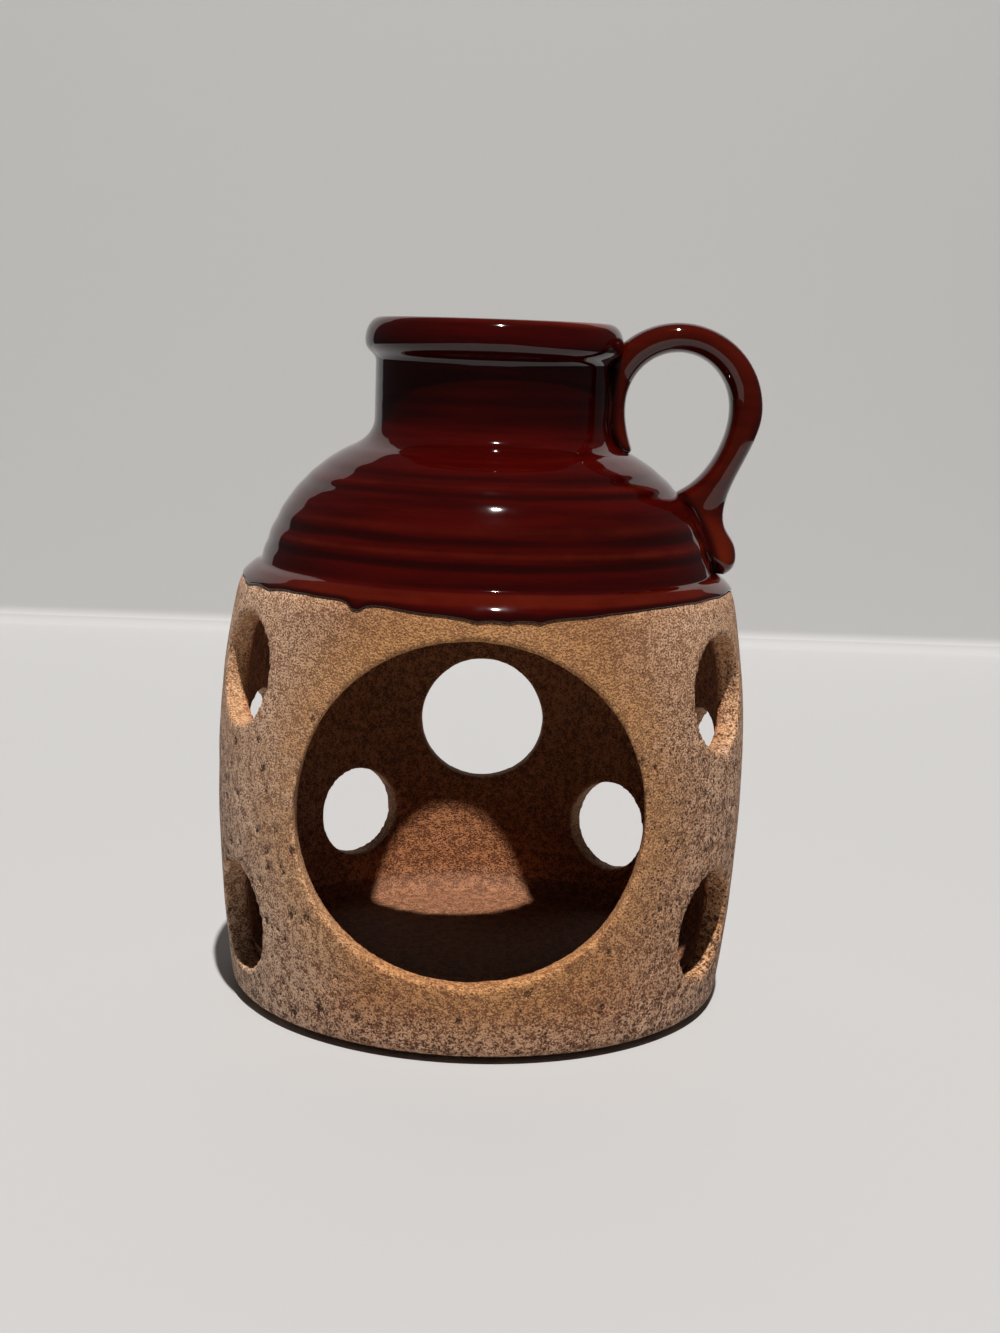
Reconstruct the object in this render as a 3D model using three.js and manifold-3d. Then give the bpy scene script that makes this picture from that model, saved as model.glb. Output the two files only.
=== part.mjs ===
// Pierced stoneware jug, put together the way a potter builds one: a bare clay barrel cut through
// with round openings, a floor slab bedded on its foot lip, and a glazed shoulder, neck and rim
// stacked on top with lapped joints. A strap handle is luted to the neck and to the shoulder.
// Millimetres, +Z up. The foot ring stands on z = 0 and the large window faces -Y.

import * as THREE from "three";
import { mergeVertices } from "three/addons/utils/BufferGeometryUtils.js";
import Module from "manifold-3d";

const wasm = await Module();
wasm.setup();

// Driving dimensions: the film of slip between joined pieces
const SLIP_GAP = 0.3;

// Driving dimensions: barrel
const BARREL_HEIGHT = 150.8; // foot to glaze line
const FOOT_RADIUS = 91.5; // outside of the wall at the foot, before its edge is rounded
const FOOT_EDGE_ROUND = 3.5;
const BELLY_RADIUS = 97.9; // widest part of the wall
const BELLY_HEIGHT = 88;
const BARREL_TOP_RADIUS = 91.3;
const BARREL_WALL = 8.5;
const FOOT_LIP_WIDTH = 4.5; // lip inside the foot that carries the floor
const FOOT_LIP_HEIGHT = 3.5;

// Driving dimensions: openings cut through the barrel, by hand, so no two sit quite alike.
// Azimuth is in degrees from the front, positive towards +X. Height is to the centre.
const FRONT_WINDOW = { azimuth: -2, height: 86.6, radius: 57.5 };
const BACK_HOLE = { azimuth: 180, height: 82.5, radius: 25.7 };
const LEFT_UPPER_HOLE = { azimuth: -62.5, height: 124.8, radius: 19.6 };
const LEFT_LOWER_HOLE = { azimuth: -64, height: 34.7, radius: 20 };
const RIGHT_UPPER_HOLE = { azimuth: 61.7, height: 121.3, radius: 20.3 };
const RIGHT_LOWER_HOLE = { azimuth: 60.5, height: 38, radius: 20 };
const LEFT_MIDDLE_HOLE = { azimuth: -106, height: 85, radius: 19.5 };
const RIGHT_MIDDLE_HOLE = { azimuth: 106, height: 83, radius: 19.5 };
const LEFT_REAR_HOLE = { azimuth: -145, height: 44.5, radius: 18 };
const RIGHT_REAR_HOLE = { azimuth: 142, height: 42.5, radius: 18.2 };

// Driving dimensions: floor
const FLOOR_THICKNESS = 5.7;
const CORNER_RADIUS = 9; // hollow of the coil smoothed into the inside corner
const COIL_EDGE = 1; // thickness left at the coil's two edges

// Driving dimensions: shoulder
const SHOULDER_LAP = 4; // depth of its spigot inside the barrel
const LEDGE_STEP = 7.9; // how far the dome's foot stands in from the glaze line
const LEDGE_RISE = 9;
const DOME_RISE = 41.5;
const SHOULDER_WALL = 8;
const THROWING_GROOVE_RISES = [6.5, 14.1, 29.2, 33.7]; // above the dome's foot
const THROWING_GROOVE_DEPTH = 0.9;
const THROWING_GROOVE_HALF_WIDTH = 1.7;

// Driving dimensions: neck and rim
const NECK_RADIUS = 43;
const NECK_WALL = 7;
const NECK_FILLET_RUN = 9; // sweep from the dome into the neck
const NECK_FILLET_RISE = 10.7;
const NECK_HEIGHT = 19.7;
const NECK_LAP = 8; // depth of its spigot inside the shoulder
const RIM_OVERHANG = 4; // how far the rim stands out from the neck
const RIM_HEIGHT = 16.3;
const RIM_ROUND = 4.4;
const RIM_LAP = 6.3; // length of the neck's tongue inside the rim

// Driving dimensions: handle
const HANDLE_WIDTH = 21;
const HANDLE_EDGE_ROUND = 3;
const HANDLE_REACH = 55.9; // neck surface to the outermost point
const HANDLE_CROWN_RISE = 1.2; // top of the arch above the rim
const GRIP_RISE = 7; // outermost point above the foot of the neck
const ARCH_THICKNESS = 9;
const GRIP_THICKNESS = 12.2;
const LEG_THICKNESS = 5.4; // upper leg, pressed flat along the neck
const LEG_TOE_DROP = 9; // end of the upper leg below the foot of the neck
const LEG_TOE_FLARE = 2.8;
const CROTCH_RISE = 26.7; // where the grip meets the dome, above the dome's foot
const WAIST_RISE = 20.7;
const WAIST_THICKNESS = 11.3;
const TAIL_RISE = 5.2; // thickest part of the tail, above the dome's foot
const TAIL_THICKNESS = 10;
const TAIL_TOE_DROP = 1.3; // end of the tail below the dome's foot
const PAD_THICKNESS = 1.6; // wads of soft clay that bed the handle
const PAD_SPREAD = 1.6; // squeezed out beyond each edge of the strap
const PAD_END_MARGIN = 2.5; // pad kept back from the ends of its seat

// Shape ratios of the curves
const LEDGE_ROLL = { inward: 0.23, up: 0.58 };
const DOME_LOWER_PULL = { inward: 0.12, up: 0.39 };
const DOME_UPPER_PULL = { inward: 0.43, up: 0.78 };
const RIM_FLARE_PULL = { outward: 0.9, up: 0.28 };
const GRIP_BEND_PULL = 0.32;
const ARCH_END_ANGLE = THREE.MathUtils.degToRad(150);

// Fineness of the facets
const TURN_STEPS = 48;
const WINDOW_STEPS = 48;
const HOLE_STEPS = 32;
const WALL_STEPS = 10;
const CURVE_STEPS = 8;
const EDGE_STEPS = 2;
const SAME_POINT = 0.001; // curve ends closer than this are one point

// Heights and radii that follow from the driving dimensions
const floorBottom = FOOT_LIP_HEIGHT + SLIP_GAP;
const floorTop = floorBottom + FLOOR_THICKNESS;
const coilBottom = floorTop + SLIP_GAP;
const coilTop = coilBottom + COIL_EDGE + CORNER_RADIUS;
const domeFootZ = BARREL_HEIGHT + LEDGE_RISE;
const domeTopZ = domeFootZ + DOME_RISE;
const neckFootZ = domeTopZ + NECK_FILLET_RISE;
const rimFootZ = neckFootZ + NECK_HEIGHT;
const rimTopZ = rimFootZ + RIM_HEIGHT;
const domeFootRadius = BARREL_TOP_RADIUS - LEDGE_STEP;
const domeTopRadius = NECK_RADIUS + NECK_FILLET_RUN;
const neckBore = NECK_RADIUS - NECK_WALL;
const rimRadius = NECK_RADIUS + RIM_OVERHANG;
const barrelLapRadius = BARREL_TOP_RADIUS - BARREL_WALL / 2;
const neckLapRadius = NECK_RADIUS - NECK_WALL / 2;

const at = (radius, height) => new THREE.Vector2(radius, height);

// Radius of the barrel's outside at a height: two parabolas that meet at the belly
function barrelRadius(z) {
  const below = z < BELLY_HEIGHT;
  const endRadius = below ? FOOT_RADIUS : BARREL_TOP_RADIUS;
  const span = below ? BELLY_HEIGHT : BARREL_HEIGHT - BELLY_HEIGHT;
  const share = (z - BELLY_HEIGHT) / span;
  return BELLY_RADIUS - (BELLY_RADIUS - endRadius) * share * share;
}

const barrelBore = (z) => barrelRadius(z) - BARREL_WALL;

// Evenly spaced values from one end to the other
function steps(from, to, count) {
  return Array.from({ length: count + 1 }, (_, i) => from + ((to - from) * i) / count);
}

// Points of a quarter ellipse about a centre, between two angles
function arc(center, radiusX, radiusY, fromAngle, toAngle, count) {
  const curve = new THREE.EllipseCurve(
    center.x, center.y, radiusX, radiusY, fromAngle, toAngle, toAngle < fromAngle,
  );
  return curve.getPoints(count);
}

// Solid of revolution from a closed outline that runs up the outside and down the inside
function turned(outline) {
  const geometry = new THREE.LatheGeometry([...outline, outline[0].clone()], TURN_STEPS);
  return geometry.rotateX(Math.PI / 2);
}

// Closed solid for joining and cutting
function solidOf(geometry) {
  const bare = geometry.clone();
  bare.deleteAttribute("normal");
  bare.deleteAttribute("uv");
  const merged = mergeVertices(bare);
  const index = merged.index.array;
  const corners = [];
  for (let i = 0; i < index.length; i += 3) {
    const [a, b, c] = [index[i], index[i + 1], index[i + 2]];
    if (a !== b && b !== c && c !== a) {
      corners.push(a, b, c);
    }
  }
  const mesh = new wasm.Mesh({
    numProp: 3,
    vertProperties: new Float32Array(merged.attributes.position.array),
    triVerts: new Uint32Array(corners),
  });
  return new wasm.Manifold(mesh);
}

// Renderable geometry of a closed solid
function geometryOf(solid) {
  const mesh = solid.getMesh();
  const geometry = new THREE.BufferGeometry();
  geometry.setAttribute("position", new THREE.BufferAttribute(mesh.vertProperties, 3));
  geometry.setIndex(new THREE.BufferAttribute(mesh.triVerts, 1));
  geometry.computeVertexNormals();
  return geometry;
}

// Cylinder that cuts one opening, pushed through the wall towards the axis
function openingCutter({ azimuth, height, radius }, sides) {
  const angle = THREE.MathUtils.degToRad(azimuth);
  const innerEnd = BELLY_RADIUS / 2;
  const outerEnd = BELLY_RADIUS + BARREL_WALL;
  const middle = (innerEnd + outerEnd) / 2;
  const cutter = new THREE.CylinderGeometry(radius, radius, outerEnd - innerEnd, sides);
  cutter.rotateZ(angle);
  cutter.translate(middle * Math.sin(angle), -middle * Math.cos(angle), height);
  return solidOf(cutter);
}

// Barrel: rounded foot edge, bellied wall, rebate for the shoulder's spigot, floor lip, openings
function piercedWall() {
  const footRound = arc(
    at(barrelRadius(FOOT_EDGE_ROUND) - FOOT_EDGE_ROUND, FOOT_EDGE_ROUND),
    FOOT_EDGE_ROUND, FOOT_EDGE_ROUND, -Math.PI / 2, 0, EDGE_STEPS,
  );
  const outside = steps(FOOT_EDGE_ROUND, BARREL_HEIGHT, WALL_STEPS).slice(1);
  const rebateFloor = BARREL_HEIGHT - SHOULDER_LAP;
  const inside = [...steps(rebateFloor, coilTop, WALL_STEPS / 2), coilBottom, FOOT_LIP_HEIGHT];
  const lipRadius = barrelBore(FOOT_LIP_HEIGHT) - FOOT_LIP_WIDTH;
  const wall = turned([
    ...footRound,
    ...outside.map((z) => at(barrelRadius(z), z)),
    at(barrelLapRadius + SLIP_GAP / 2, BARREL_HEIGHT),
    at(barrelLapRadius + SLIP_GAP / 2, rebateFloor),
    ...inside.map((z) => at(barrelBore(z), z)),
    at(lipRadius, FOOT_LIP_HEIGHT),
    at(lipRadius, 0),
  ]);
  const holes = [
    BACK_HOLE, LEFT_UPPER_HOLE, LEFT_LOWER_HOLE, RIGHT_UPPER_HOLE, RIGHT_LOWER_HOLE,
    LEFT_MIDDLE_HOLE, RIGHT_MIDDLE_HOLE, LEFT_REAR_HOLE, RIGHT_REAR_HOLE,
  ];
  let solid = solidOf(wall).subtract(openingCutter(FRONT_WINDOW, WINDOW_STEPS));
  for (const hole of holes) {
    solid = solid.subtract(openingCutter(hole, HOLE_STEPS));
  }
  return geometryOf(solid);
}

// Floor: a slab that drops onto the foot lip
function floorDisc() {
  const radius = barrelBore(FOOT_LIP_HEIGHT) - SLIP_GAP;
  return turned([at(0, floorBottom), at(radius, floorBottom), at(radius, floorTop), at(0, floorTop)]);
}

// Coil of clay smoothed into the corner between the floor and the wall
function floorCornerCoil() {
  const outerTop = barrelBore(coilTop) - SLIP_GAP;
  const center = at(outerTop - COIL_EDGE - CORNER_RADIUS, coilTop);
  return turned([
    at(center.x, coilBottom),
    at(barrelBore(coilBottom) - SLIP_GAP, coilBottom),
    at(outerTop, coilTop),
    ...arc(center, CORNER_RADIUS, CORNER_RADIUS, 0, -Math.PI / 2, CURVE_STEPS / 2),
  ]);
}

// Outside of the glazed part, from the glaze line up: ledge, dome, sweep into the neck
const ledgeCurve = new THREE.QuadraticBezierCurve(
  at(BARREL_TOP_RADIUS, BARREL_HEIGHT + SLIP_GAP),
  at(BARREL_TOP_RADIUS - LEDGE_ROLL.inward * LEDGE_STEP, BARREL_HEIGHT + LEDGE_ROLL.up * LEDGE_RISE),
  at(domeFootRadius, domeFootZ),
);

const domeRun = domeFootRadius - domeTopRadius;

const domeCurve = new THREE.CubicBezierCurve(
  at(domeFootRadius, domeFootZ),
  at(domeFootRadius - DOME_LOWER_PULL.inward * domeRun, domeFootZ + DOME_LOWER_PULL.up * DOME_RISE),
  at(domeFootRadius - DOME_UPPER_PULL.inward * domeRun, domeFootZ + DOME_UPPER_PULL.up * DOME_RISE),
  at(domeTopRadius, domeTopZ),
);

// The sweep starts along the dome's end and finishes upright, so its middle point is where those meet
const domeEndSlope = ((1 - DOME_UPPER_PULL.up) * DOME_RISE) / ((1 - DOME_UPPER_PULL.inward) * domeRun);

const neckFillet = new THREE.QuadraticBezierCurve(
  at(domeTopRadius, domeTopZ),
  at(NECK_RADIUS, domeTopZ + Math.min(domeEndSlope * NECK_FILLET_RUN, NECK_FILLET_RISE)),
  at(NECK_RADIUS, neckFootZ),
);

// Place on the dome's curve at a height, found by halving
function domePlace(z) {
  let low = 0;
  let high = 1;
  for (let i = 0; i < TURN_STEPS; i += 1) {
    const middle = (low + high) / 2;
    if (domeCurve.getPoint(middle).y < z) {
      low = middle;
    } else {
      high = middle;
    }
  }
  return low;
}

const domeRadius = (z) => domeCurve.getPoint(domePlace(z)).x;

// Dome outline with its throwing grooves, each a shallow dip at its height
function groovedDome() {
  const fits = (rise) =>
    rise > THROWING_GROOVE_HALF_WIDTH && rise + THROWING_GROOVE_HALF_WIDTH < DOME_RISE;
  const grooves = THROWING_GROOVE_RISES.filter(fits).map((rise) => domeFootZ + rise);
  const clear = (z) => grooves.every((groove) => Math.abs(z - groove) > THROWING_GROOVE_HALF_WIDTH);
  const heights = steps(domeFootZ, domeTopZ, CURVE_STEPS).filter(clear);
  for (const groove of grooves) {
    heights.push(groove - THROWING_GROOVE_HALF_WIDTH, groove, groove + THROWING_GROOVE_HALF_WIDTH);
  }
  heights.sort((a, b) => a - b);
  return heights.map((z) => at(domeRadius(z) - (grooves.includes(z) ? THROWING_GROOVE_DEPTH : 0), z));
}

// Points moved square to their outline, outwards when the distance is positive
function offset(points, distance) {
  return points.map((point, i) => {
    const before = points[Math.max(i - 1, 0)];
    const after = points[Math.min(i + 1, points.length - 1)];
    const along = after.clone().sub(before).normalize();
    return at(point.x + along.y * distance, point.y - along.x * distance);
  });
}

// Shoulder: spigot into the barrel, ledge, ribbed dome, and a socket for the neck
function shoulderDome() {
  const spigotBottom = BARREL_HEIGHT - SHOULDER_LAP + SLIP_GAP;
  const socketBottom = neckFootZ - NECK_LAP - SLIP_GAP;
  const domeInside = offset(domeCurve.getPoints(CURVE_STEPS / 2), -SHOULDER_WALL).reverse();
  return turned([
    at(barrelBore(BARREL_HEIGHT), spigotBottom),
    at(barrelLapRadius - SLIP_GAP / 2, spigotBottom),
    at(barrelLapRadius - SLIP_GAP / 2, BARREL_HEIGHT + SLIP_GAP),
    ...ledgeCurve.getPoints(CURVE_STEPS / 2).slice(0, -1),
    ...groovedDome().slice(0, -1),
    ...neckFillet.getPoints(CURVE_STEPS / 2),
    at(neckLapRadius + SLIP_GAP / 2, neckFootZ),
    at(neckLapRadius + SLIP_GAP / 2, socketBottom),
    ...domeInside,
  ]);
}

// Neck: a collar whose inner half runs on as a spigot below and a tongue above
function neckCollar() {
  return turned([
    at(neckBore, neckFootZ - NECK_LAP),
    at(neckLapRadius - SLIP_GAP / 2, neckFootZ - NECK_LAP),
    at(neckLapRadius - SLIP_GAP / 2, neckFootZ + SLIP_GAP),
    at(NECK_RADIUS, neckFootZ + SLIP_GAP),
    at(NECK_RADIUS, rimFootZ),
    at(neckLapRadius - SLIP_GAP / 2, rimFootZ),
    at(neckLapRadius - SLIP_GAP / 2, rimFootZ + RIM_LAP),
    at(neckBore, rimFootZ + RIM_LAP),
  ]);
}

// Outside of the rim, flaring from the neck to its widest line
const rimFlare = new THREE.QuadraticBezierCurve(
  at(NECK_RADIUS, rimFootZ + SLIP_GAP),
  at(NECK_RADIUS + RIM_FLARE_PULL.outward * RIM_OVERHANG, rimFootZ + RIM_FLARE_PULL.up * RIM_HEIGHT),
  at(rimRadius, rimTopZ - RIM_ROUND),
);

// Rim crown: rounded over from the widest line to the bore
function rimCrown() {
  const crown = at(rimRadius - RIM_ROUND, rimTopZ - RIM_ROUND);
  return [
    ...arc(crown, RIM_ROUND, RIM_ROUND, 0, Math.PI / 2, CURVE_STEPS / 2).slice(1),
    ...arc(crown, crown.x - neckBore, RIM_ROUND, Math.PI / 2, Math.PI, CURVE_STEPS / 2).slice(1),
  ];
}

// Rim: a roll of clay seated over the neck's tongue
function rimRoll() {
  return turned([
    at(neckLapRadius + SLIP_GAP / 2, rimFootZ + SLIP_GAP),
    ...rimFlare.getPoints(CURVE_STEPS / 2),
    ...rimCrown(),
    at(neckBore, rimFootZ + RIM_LAP + SLIP_GAP),
    at(neckLapRadius + SLIP_GAP / 2, rimFootZ + RIM_LAP + SLIP_GAP),
  ]);
}

// Everything inside the glazed outside, grown by a gap, as the shape that handle pieces are fitted to
function potCore(gap) {
  const outside = offset([
    ...ledgeCurve.getPoints(CURVE_STEPS / 2).slice(0, -1),
    ...domeCurve.getPoints(CURVE_STEPS).slice(0, -1),
    ...neckFillet.getPoints(CURVE_STEPS / 2),
    ...rimFlare.getPoints(CURVE_STEPS / 2),
    ...rimCrown().slice(0, CURVE_STEPS / 2),
  ], gap);
  const bottom = outside[0].y;
  const top = outside.at(-1).y;
  return solidOf(turned([at(0, bottom), ...outside, at(0, top)]));
}

// Extrude a side view drawn in X and Z across the width of the handle
function acrossHandle(shape, width, edgeRound) {
  const drawn = shape.getPoints(CURVE_STEPS);
  const distinct = drawn.filter((point, i) => point.distanceTo(drawn.at(i - 1)) > SAME_POINT);
  const geometry = new THREE.ExtrudeGeometry(new THREE.Shape(distinct), {
    depth: width - 2 * edgeRound,
    bevelThickness: edgeRound,
    bevelSize: edgeRound,
    bevelOffset: -edgeRound,
    bevelSegments: EDGE_STEPS,
  });
  geometry.translate(0, 0, edgeRound - width / 2);
  return geometry.rotateX(Math.PI / 2);
}

// Places on the handle's side view
const legToeZ = neckFootZ - LEG_TOE_DROP;
const gripZ = neckFootZ + GRIP_RISE;
const handleTopZ = rimTopZ + HANDLE_CROWN_RISE;
const loopLeft = NECK_RADIUS + LEG_THICKNESS;
const reachX = NECK_RADIUS + HANDLE_REACH;
const loopRight = reachX - GRIP_THICKNESS;
const loopCenterX = (loopLeft + loopRight) / 2;
const loopTopZ = handleTopZ - ARCH_THICKNESS;
const crotchZ = domeFootZ + CROTCH_RISE;
const waistZ = domeFootZ + WAIST_RISE;
const tailZ = domeFootZ + TAIL_RISE;
const tailToeZ = domeFootZ - TAIL_TOE_DROP;

// Side view of the handle blank: it runs a wall's depth into the pot, and is then trimmed to fit
function handleSideView() {
  const legRoot = NECK_RADIUS - NECK_WALL;
  const crotch = at(domeRadius(crotchZ), crotchZ);
  const waist = at(domeRadius(waistZ) + WAIST_THICKNESS, waistZ);
  const tail = at(domeRadius(tailZ) + TAIL_THICKNESS, tailZ);
  const tailRoot = domeFootRadius - SHOULDER_WALL;
  const bend = GRIP_BEND_PULL * (gripZ - waistZ);
  const shape = new THREE.Shape();
  shape.moveTo(legRoot, legToeZ - NECK_WALL);
  shape.lineTo(loopLeft + LEG_TOE_FLARE, legToeZ - NECK_WALL);
  shape.lineTo(loopLeft + LEG_TOE_FLARE, legToeZ);
  shape.quadraticCurveTo(loopLeft, (legToeZ + gripZ) / 2, loopLeft, gripZ);
  shape.absellipse(
    loopCenterX, gripZ, (loopRight - loopLeft) / 2, loopTopZ - gripZ, Math.PI, 0, true,
  );
  shape.bezierCurveTo(
    loopRight, gripZ - bend, (loopRight + crotch.x) / 2, crotchZ + bend / 2, crotch.x, crotchZ,
  );
  shape.lineTo(crotch.x - SHOULDER_WALL, crotchZ - SHOULDER_WALL / 2);
  shape.lineTo(tailRoot, tailToeZ);
  shape.lineTo(tail.x - TAIL_THICKNESS / 2, tailToeZ);
  shape.quadraticCurveTo(tail.x, tailToeZ, tail.x, tailZ);
  shape.bezierCurveTo(
    tail.x, (tailZ + waistZ) / 2, waist.x, (tailZ + waistZ) / 2, waist.x, waistZ,
  );
  shape.bezierCurveTo(waist.x, waistZ + bend, reachX, gripZ - bend, reachX, gripZ);
  shape.absellipse(
    loopCenterX, gripZ, reachX - loopCenterX, handleTopZ - gripZ, 0, ARCH_END_ANGLE, false,
  );
  shape.lineTo(legRoot, gripZ);
  return shape;
}

// Oval block across the handle's width, on the +X side, that bounds one pad
function padBlock(lowZ, highZ, grow) {
  const halfWidth = HANDLE_WIDTH / 2 + PAD_SPREAD + grow;
  const halfHeight = (highZ - lowZ) / 2 + grow;
  const block = new THREE.CylinderGeometry(1, 1, reachX, HOLE_STEPS);
  block.rotateZ(-Math.PI / 2);
  block.scale(1, halfWidth, halfHeight);
  block.translate(reachX / 2, 0, (lowZ + highZ) / 2);
  return solidOf(block);
}

const PAD_SEATS = {
  upper: [legToeZ + PAD_END_MARGIN, rimFootZ - PAD_END_MARGIN],
  lower: [tailToeZ + PAD_END_MARGIN, crotchZ - PAD_END_MARGIN],
};

// Pad: a skin of soft clay on the pot, under the end of the handle
function handlePad([lowZ, highZ]) {
  const skin = potCore(SLIP_GAP + PAD_THICKNESS).subtract(potCore(SLIP_GAP));
  return geometryOf(padBlock(lowZ, highZ, 0).intersect(skin));
}

// Handle: one strap, trimmed to the pot and relieved over its two pads
function handleStrap() {
  const overPads = potCore(SLIP_GAP + PAD_THICKNESS + SLIP_GAP);
  let strap = solidOf(acrossHandle(handleSideView(), HANDLE_WIDTH, HANDLE_EDGE_ROUND));
  strap = strap.subtract(potCore(SLIP_GAP));
  for (const [lowZ, highZ] of Object.values(PAD_SEATS)) {
    strap = strap.subtract(padBlock(lowZ, highZ, SLIP_GAP).intersect(overPads));
  }
  return geometryOf(strap);
}

// Finishes
const bareStoneware = () =>
  new THREE.MeshStandardMaterial({ color: 0xb1875b, roughness: 0.85, metalness: 0 });
const oxbloodGlaze = () =>
  new THREE.MeshStandardMaterial({ color: 0x4a140c, roughness: 0.12, metalness: 0 });

// Assembly
const jug = new THREE.Group();

function place(name, geometry, material) {
  const mesh = new THREE.Mesh(geometry, material);
  mesh.name = name;
  jug.add(mesh);
}

place("pierced_wall", piercedWall(), bareStoneware());
place("floor_disc", floorDisc(), bareStoneware());
place("floor_corner_coil", floorCornerCoil(), bareStoneware());
place("shoulder_dome", shoulderDome(), oxbloodGlaze());
place("neck_collar", neckCollar(), oxbloodGlaze());
place("rim_roll", rimRoll(), oxbloodGlaze());
place("handle_upper_pad", handlePad(PAD_SEATS.upper), oxbloodGlaze());
place("handle_lower_pad", handlePad(PAD_SEATS.lower), oxbloodGlaze());
place("handle_strap", handleStrap(), oxbloodGlaze());

export default jug;
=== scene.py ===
# %% [markdown]
# # A pierced stoneware jug
# The jug is thrown in two halves: a bare clay barrel, cut through with round openings, and a glazed
# shoulder, neck and rim that sit on it. A strap handle joins the neck to the shoulder. This lesson
# dresses the measured solids of that jug: each piece is modelled again with softer, finer forms, and
# given its clay or its glaze. Sizes come from the boxes of the solids, or are values in millimetres.

# %% Load the frame
import math
import random

import bpy
import numpy as np
from mathutils import Matrix, Vector, kdtree, noise


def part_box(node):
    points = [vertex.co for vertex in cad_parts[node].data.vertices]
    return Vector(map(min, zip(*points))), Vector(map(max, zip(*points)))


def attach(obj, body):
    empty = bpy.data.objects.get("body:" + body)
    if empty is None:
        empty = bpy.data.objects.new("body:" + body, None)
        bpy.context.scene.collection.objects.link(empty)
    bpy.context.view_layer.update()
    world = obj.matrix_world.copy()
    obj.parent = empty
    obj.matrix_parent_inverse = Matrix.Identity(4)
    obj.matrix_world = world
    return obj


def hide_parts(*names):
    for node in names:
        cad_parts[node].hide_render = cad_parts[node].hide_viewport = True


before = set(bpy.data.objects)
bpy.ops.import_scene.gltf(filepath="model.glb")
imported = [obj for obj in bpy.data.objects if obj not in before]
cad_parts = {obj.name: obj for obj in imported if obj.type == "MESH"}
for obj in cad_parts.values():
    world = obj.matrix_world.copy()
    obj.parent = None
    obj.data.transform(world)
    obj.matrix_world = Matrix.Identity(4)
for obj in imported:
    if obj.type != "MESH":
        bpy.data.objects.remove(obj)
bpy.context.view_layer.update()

MM = 0.001


def node_box(node):
    """Lowest and highest corner of a solid, in millimetres."""
    low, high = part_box(node)
    return low / MM, high / MM


print("solids:", sorted(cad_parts))

# %% [markdown]
# ## Camera
# The camera comes first, because every later step is judged through it. It stands level with the rim,
# about two thirds of a metre in front, and looks down a little. A hand-held picture is never quite
# straight, so a small pan and roll are kept as angles instead of aiming the camera with a constraint.

# %% Place the camera
CAMERA_DISTANCE = 675.7
CAMERA_HEIGHT = 237.0
CAMERA_PITCH = math.radians(9.765)
CAMERA_PAN = math.radians(0.51)
CAMERA_ROLL = math.radians(1.99)
CAMERA_LENS = 49.4

bpy.ops.object.select_all(action="DESELECT")
bpy.ops.object.camera_add(location=(0, -CAMERA_DISTANCE * MM, CAMERA_HEIGHT * MM))
camera = bpy.context.object
aim = Matrix.Rotation(-CAMERA_PAN, 4, "Z") @ Matrix.Rotation(math.pi / 2 - CAMERA_PITCH, 4, "X")
camera.rotation_euler = (aim @ Matrix.Rotation(CAMERA_ROLL, 4, "Z")).to_euler()
camera.data.lens = CAMERA_LENS
bpy.context.scene.camera = camera
print("camera at", [round(v, 3) for v in camera.location])

# %% [markdown]
# ## Drawing a section
# Everything thrown on a wheel is a section turned about an upright axis. A section could be drawn as a
# curve object, but a circle whose points are moved onto the outline is already a closed loop of edges,
# which is what the spin tool wants. The first helpers draw the stretches of an outline. The others make
# soft steps and humps, for gentle changes of form and colour.

# %% Outline helpers
def span(start, end, count):
    """Evenly spaced values from start to end, both included."""
    return [start + (end - start) * i / count for i in range(count + 1)]


def bezier(points, share):
    """Place on a Bezier curve, at a share from 0 to 1 of its run."""
    while len(points) > 1:
        points = [
            tuple(a + (b - a) * share for a, b in zip(first, second))
            for first, second in zip(points, points[1:])
        ]
    return points[0]


def curve(points, count):
    """Points along a Bezier curve, ends included."""
    return [bezier(points, share) for share in span(0, 1, count)]


def arc(center, radius, start, end, count):
    """Points on an arc, with its angles in degrees from the outward direction."""
    angles = [math.radians(angle) for angle in span(start, end, count)]
    return [(center[0] + radius * math.cos(a), center[1] + radius * math.sin(a)) for a in angles]


def radius_at(outline, z):
    """Radius of an outline of (radius, height) points at a height."""
    radii, heights = zip(*outline)
    return float(np.interp(z, heights, radii))


def smooth_step(low, high, value):
    """0 below low, 1 above high, with an eased change between."""
    share = min(max((value - low) / (high - low), 0), 1)
    return share * share * (3 - 2 * share)


def ramp(steps, value):
    """What eased steps of (size, start, end) add up to at a value."""
    return sum(size * smooth_step(start, end, value) for size, start, end in steps)


def bump(value, center, half_width):
    """A smooth hump of height 1 about a centre."""
    return math.exp(-(((value - center) / half_width) ** 2))


def rings_at(rings, z):
    """What humps of (height, size, half width) add up to at a height."""
    return sum(size * bump(z, height, half) for height, size, half in rings)


print("a quarter arc has", len(arc((0, 0), 1, 0, 90, 8)), "points")

# %% [markdown]
# ## Throwing a piece
# The spin tool is the potter's wheel. It leaves a doubled seam where the turn closes, so the doubles
# are merged, and only then are the normals made to point out. A smooth-by-angle shade keeps crisp
# corners where two faces meet sharply and rounds off all the rest.

# %% Spin helpers
TURN_STEPS = 224
WELD = 0.01 * MM
SHARP_ANGLE = math.radians(40)


def begin():
    """Back to object mode with nothing selected."""
    if bpy.context.mode != "OBJECT":
        bpy.ops.object.mode_set(mode="OBJECT")
    bpy.ops.object.select_all(action="DESELECT")


def choose(piece):
    """Make one piece the selected and active one."""
    begin()
    piece.select_set(True)
    bpy.context.view_layer.objects.active = piece


def edit_all():
    """Edit mode, with everything in the piece selected."""
    bpy.ops.object.mode_set(mode="EDIT")
    bpy.ops.mesh.select_all(action="SELECT")


def name_piece(name):
    """Name the new primitive and its mesh."""
    piece = bpy.context.object
    piece.name = name
    piece.data.name = name
    return piece


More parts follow.
